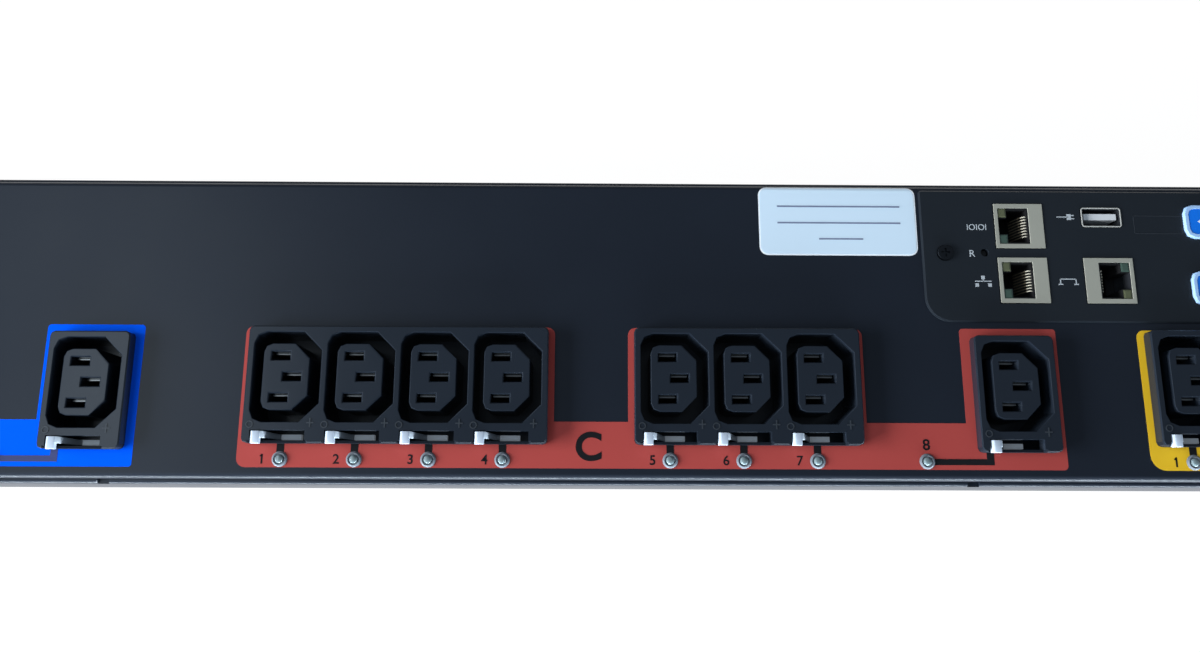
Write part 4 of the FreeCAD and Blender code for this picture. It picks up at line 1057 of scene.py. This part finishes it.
def arrow(node, turn):
    """An arrow printed on a key, pointing up before its turn."""
    low, high = box_mm(node)
    base = -ARROW_RADIUS / 2
    bpy.ops.mesh.primitive_circle_add(vertices=3, radius=ARROW_RADIUS * MM, fill_type="NGON")
    mark = settle(bpy.context.object, "arrow")
    pick(mark, "EDGE", lambda middle, _: near(middle.y, base * MM))
    extrude((0, 0, 0))
    bpy.ops.transform.resize(value=(ARROW_WAIST, 1, 1), center_override=(0, base * MM, 0))
    extrude((0, -ARROW_STEM, 0))
    leave_edit()
    modify(mark, "SOLIDIFY", thickness=INK * MM, offset=1)
    mark.rotation_euler.z = math.radians(turn)
    middle = (low + high) / 2
    mark.location = Vector((middle.x, middle.y, high.z - KEY_SINK)) * MM
    settle(mark, node + "_arrow")
    everything(mark)
    bpy.ops.mesh.normals_make_consistent(inside=False)
    leave_edit()
    dress(mark, ink_bright, body=node)


for node, turn in KEY_TURNS.items():
    framed_key(node)
    arrow(node, turn)
print("keys:", ", ".join(KEY_TURNS))

# %% [markdown]
# The module's small signs are white print: bits for the serial jack, three linked boxes for the network,
# a plug for the socket, a bridge for the link jack and an R beside the reset. They are thin plates, joined
# into one piece. Beside the socket a thin outline marks where an owner's tag goes.

# %% Printed signs
SIGN_TOP = bezel_high.z
BOX_SIZE, THIN = 1.2, 0.32
BITS, RESET_LETTER = ("IOIOI", 116.5, 36.0, 2.1), ("R", 114.3, 26.5, 2.4)
NETWORK_BOXES = ((117.3, 17.9), (115.1, 15.2), (119.5, 15.2))
NETWORK_LINES = ((114.4, 16.4, 120.2, 16.4 + THIN), (117.3 - THIN / 2, 16.4, 117.3 + THIN / 2, 17.4))
PLUG_PLATES = ((144.9, 39.7, 149.0, 39.7 + THIN), (148.4, 38.8, 149.9, 40.9),
               (149.9, 39.1, 151.0, 39.1 + THIN), (149.9, 40.3, 151.0, 40.3 + THIN))
LINK_BAR, LINK_ENDS, LINK_FOOT = (143.8, 17.3, 149.6, 17.3 + THIN), (144.0, 149.4), 0.8
LINK_LEVELS = (15.4, 15.8, 17.6)
TAG_LOW, TAG_HIGH = Vector((171.7, 33.9)), Vector((188.6, 40.5))


def thin_line(left, bottom, right, top):
    return ink_plate("sign", left, bottom, right, top, SIGN_TOP)


signs = [ink_words("sign", *sign, SIGN_TOP) for sign in (BITS, RESET_LETTER)]
for x, y in NETWORK_BOXES:
    signs.append(thin_line(x - BOX_SIZE / 2, y - BOX_SIZE / 2, x + BOX_SIZE / 2, y + BOX_SIZE / 2))
for plate in NETWORK_LINES + PLUG_PLATES + (LINK_BAR,):
    signs.append(thin_line(*plate))
sole, ankle, knee = LINK_LEVELS
for x in LINK_ENDS:
    signs.append(thin_line(x - THIN / 2, ankle, x + THIN / 2, knee))
    signs.append(thin_line(x - LINK_FOOT, sole, x + LINK_FOOT, ankle))
dress(join(signs, "module_signs"), ink_white)

tag = [thin_line(TAG_LOW.x, y, TAG_HIGH.x, y + THIN / 2) for y in (TAG_LOW.y, TAG_HIGH.y - THIN / 2)]
tag += [thin_line(x, TAG_LOW.y, x + THIN / 2, TAG_HIGH.y) for x in (TAG_LOW.x, TAG_HIGH.x - THIN / 2)]
dress(join(tag, "blank_tag"), glint_and_print_grey)
print("signs printed at", round(SIGN_TOP, 2), "mm")

# %% [markdown]
# ## Screws
# The case and module screws are small pan heads with a crossed slot. The head is a cylinder with a bevelled
# rim, its underside is drawn out into a shank, and two thin boxes cut the cross with a Boolean.

# %% Pan heads with a crossed slot
SCREW_RADIUS, SCREW_RISE, SCREW_ROUND, SHANK_RADIUS, SHANK_LENGTH = 2.8, 1.0, 0.45, 1.4, 6.0
SLOT_LENGTH, SLOT_WIDTH, SLOT_DEPTH = 3.0, 0.7, 0.6
SIDE_SCREW_HEIGHT = 25.0
MODULE_SCREW_INSET, MODULE_SCREW_ROW = 7.7, 24.3


def first_screw():
    """A screw whose head stands on zero and points up."""
    screw = new_cylinder("screw", 24, SCREW_RADIUS, SCREW_RISE, (0, 0, 0))
    pick(screw, "FACE", lambda middle, normal: normal.z < -FACING)
    bpy.ops.mesh.inset(thickness=(SCREW_RADIUS - SHANK_RADIUS) * MM)
    extrude((0, 0, -SHANK_LENGTH))
    leave_edit()
    pick(screw, "EDGE", lambda middle, _: near(middle.z, SCREW_RISE * MM))
    bpy.ops.mesh.bevel(offset=SCREW_ROUND * MM, segments=3, affect="EDGES")
    leave_edit()
    for along, across in ((SLOT_LENGTH, SLOT_WIDTH), (SLOT_WIDTH, SLOT_LENGTH)):
        cutter = new_box("cutter", (-along / 2, -across / 2, SCREW_RISE - SLOT_DEPTH),
                         (along / 2, across / 2, SCREW_RISE + SLOT_DEPTH))
        modify(screw, "BOOLEAN", object=cutter, operation="DIFFERENCE")
        bpy.data.objects.remove(cutter)
    smooth(screw)
    return screw


screw_low, screw_high = box_mm("screws")
seats = []
for x in (screw_low.x + SCREW_RADIUS, screw_high.x - SCREW_RADIUS):
    seats.append(((x, screw_low.y + SCREW_RISE, SIDE_SCREW_HEIGHT), 90))
    seats.append(((x, screw_high.y - SCREW_RISE, SIDE_SCREW_HEIGHT), -90))
for x in (bezel_low.x + MODULE_SCREW_INSET, bezel_high.x - MODULE_SCREW_INSET):
    seats.append(((x, bezel_low.y + MODULE_SCREW_ROW, bezel_high.z), 0))
pattern = first_screw()
heads = []
for seat, tilt in seats:
    twin = copy_of(pattern, "screw_copy")
    twin.rotation_euler.x = math.radians(tilt)
    twin.location = Vector(seat) * MM
    heads.append(settle(twin, "screw_copy"))
bpy.data.objects.remove(pattern)
heads = join(heads, "pan_head_screws")
dress(heads, dark_steel)
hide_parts("screws")
print("screws:", len(seats))
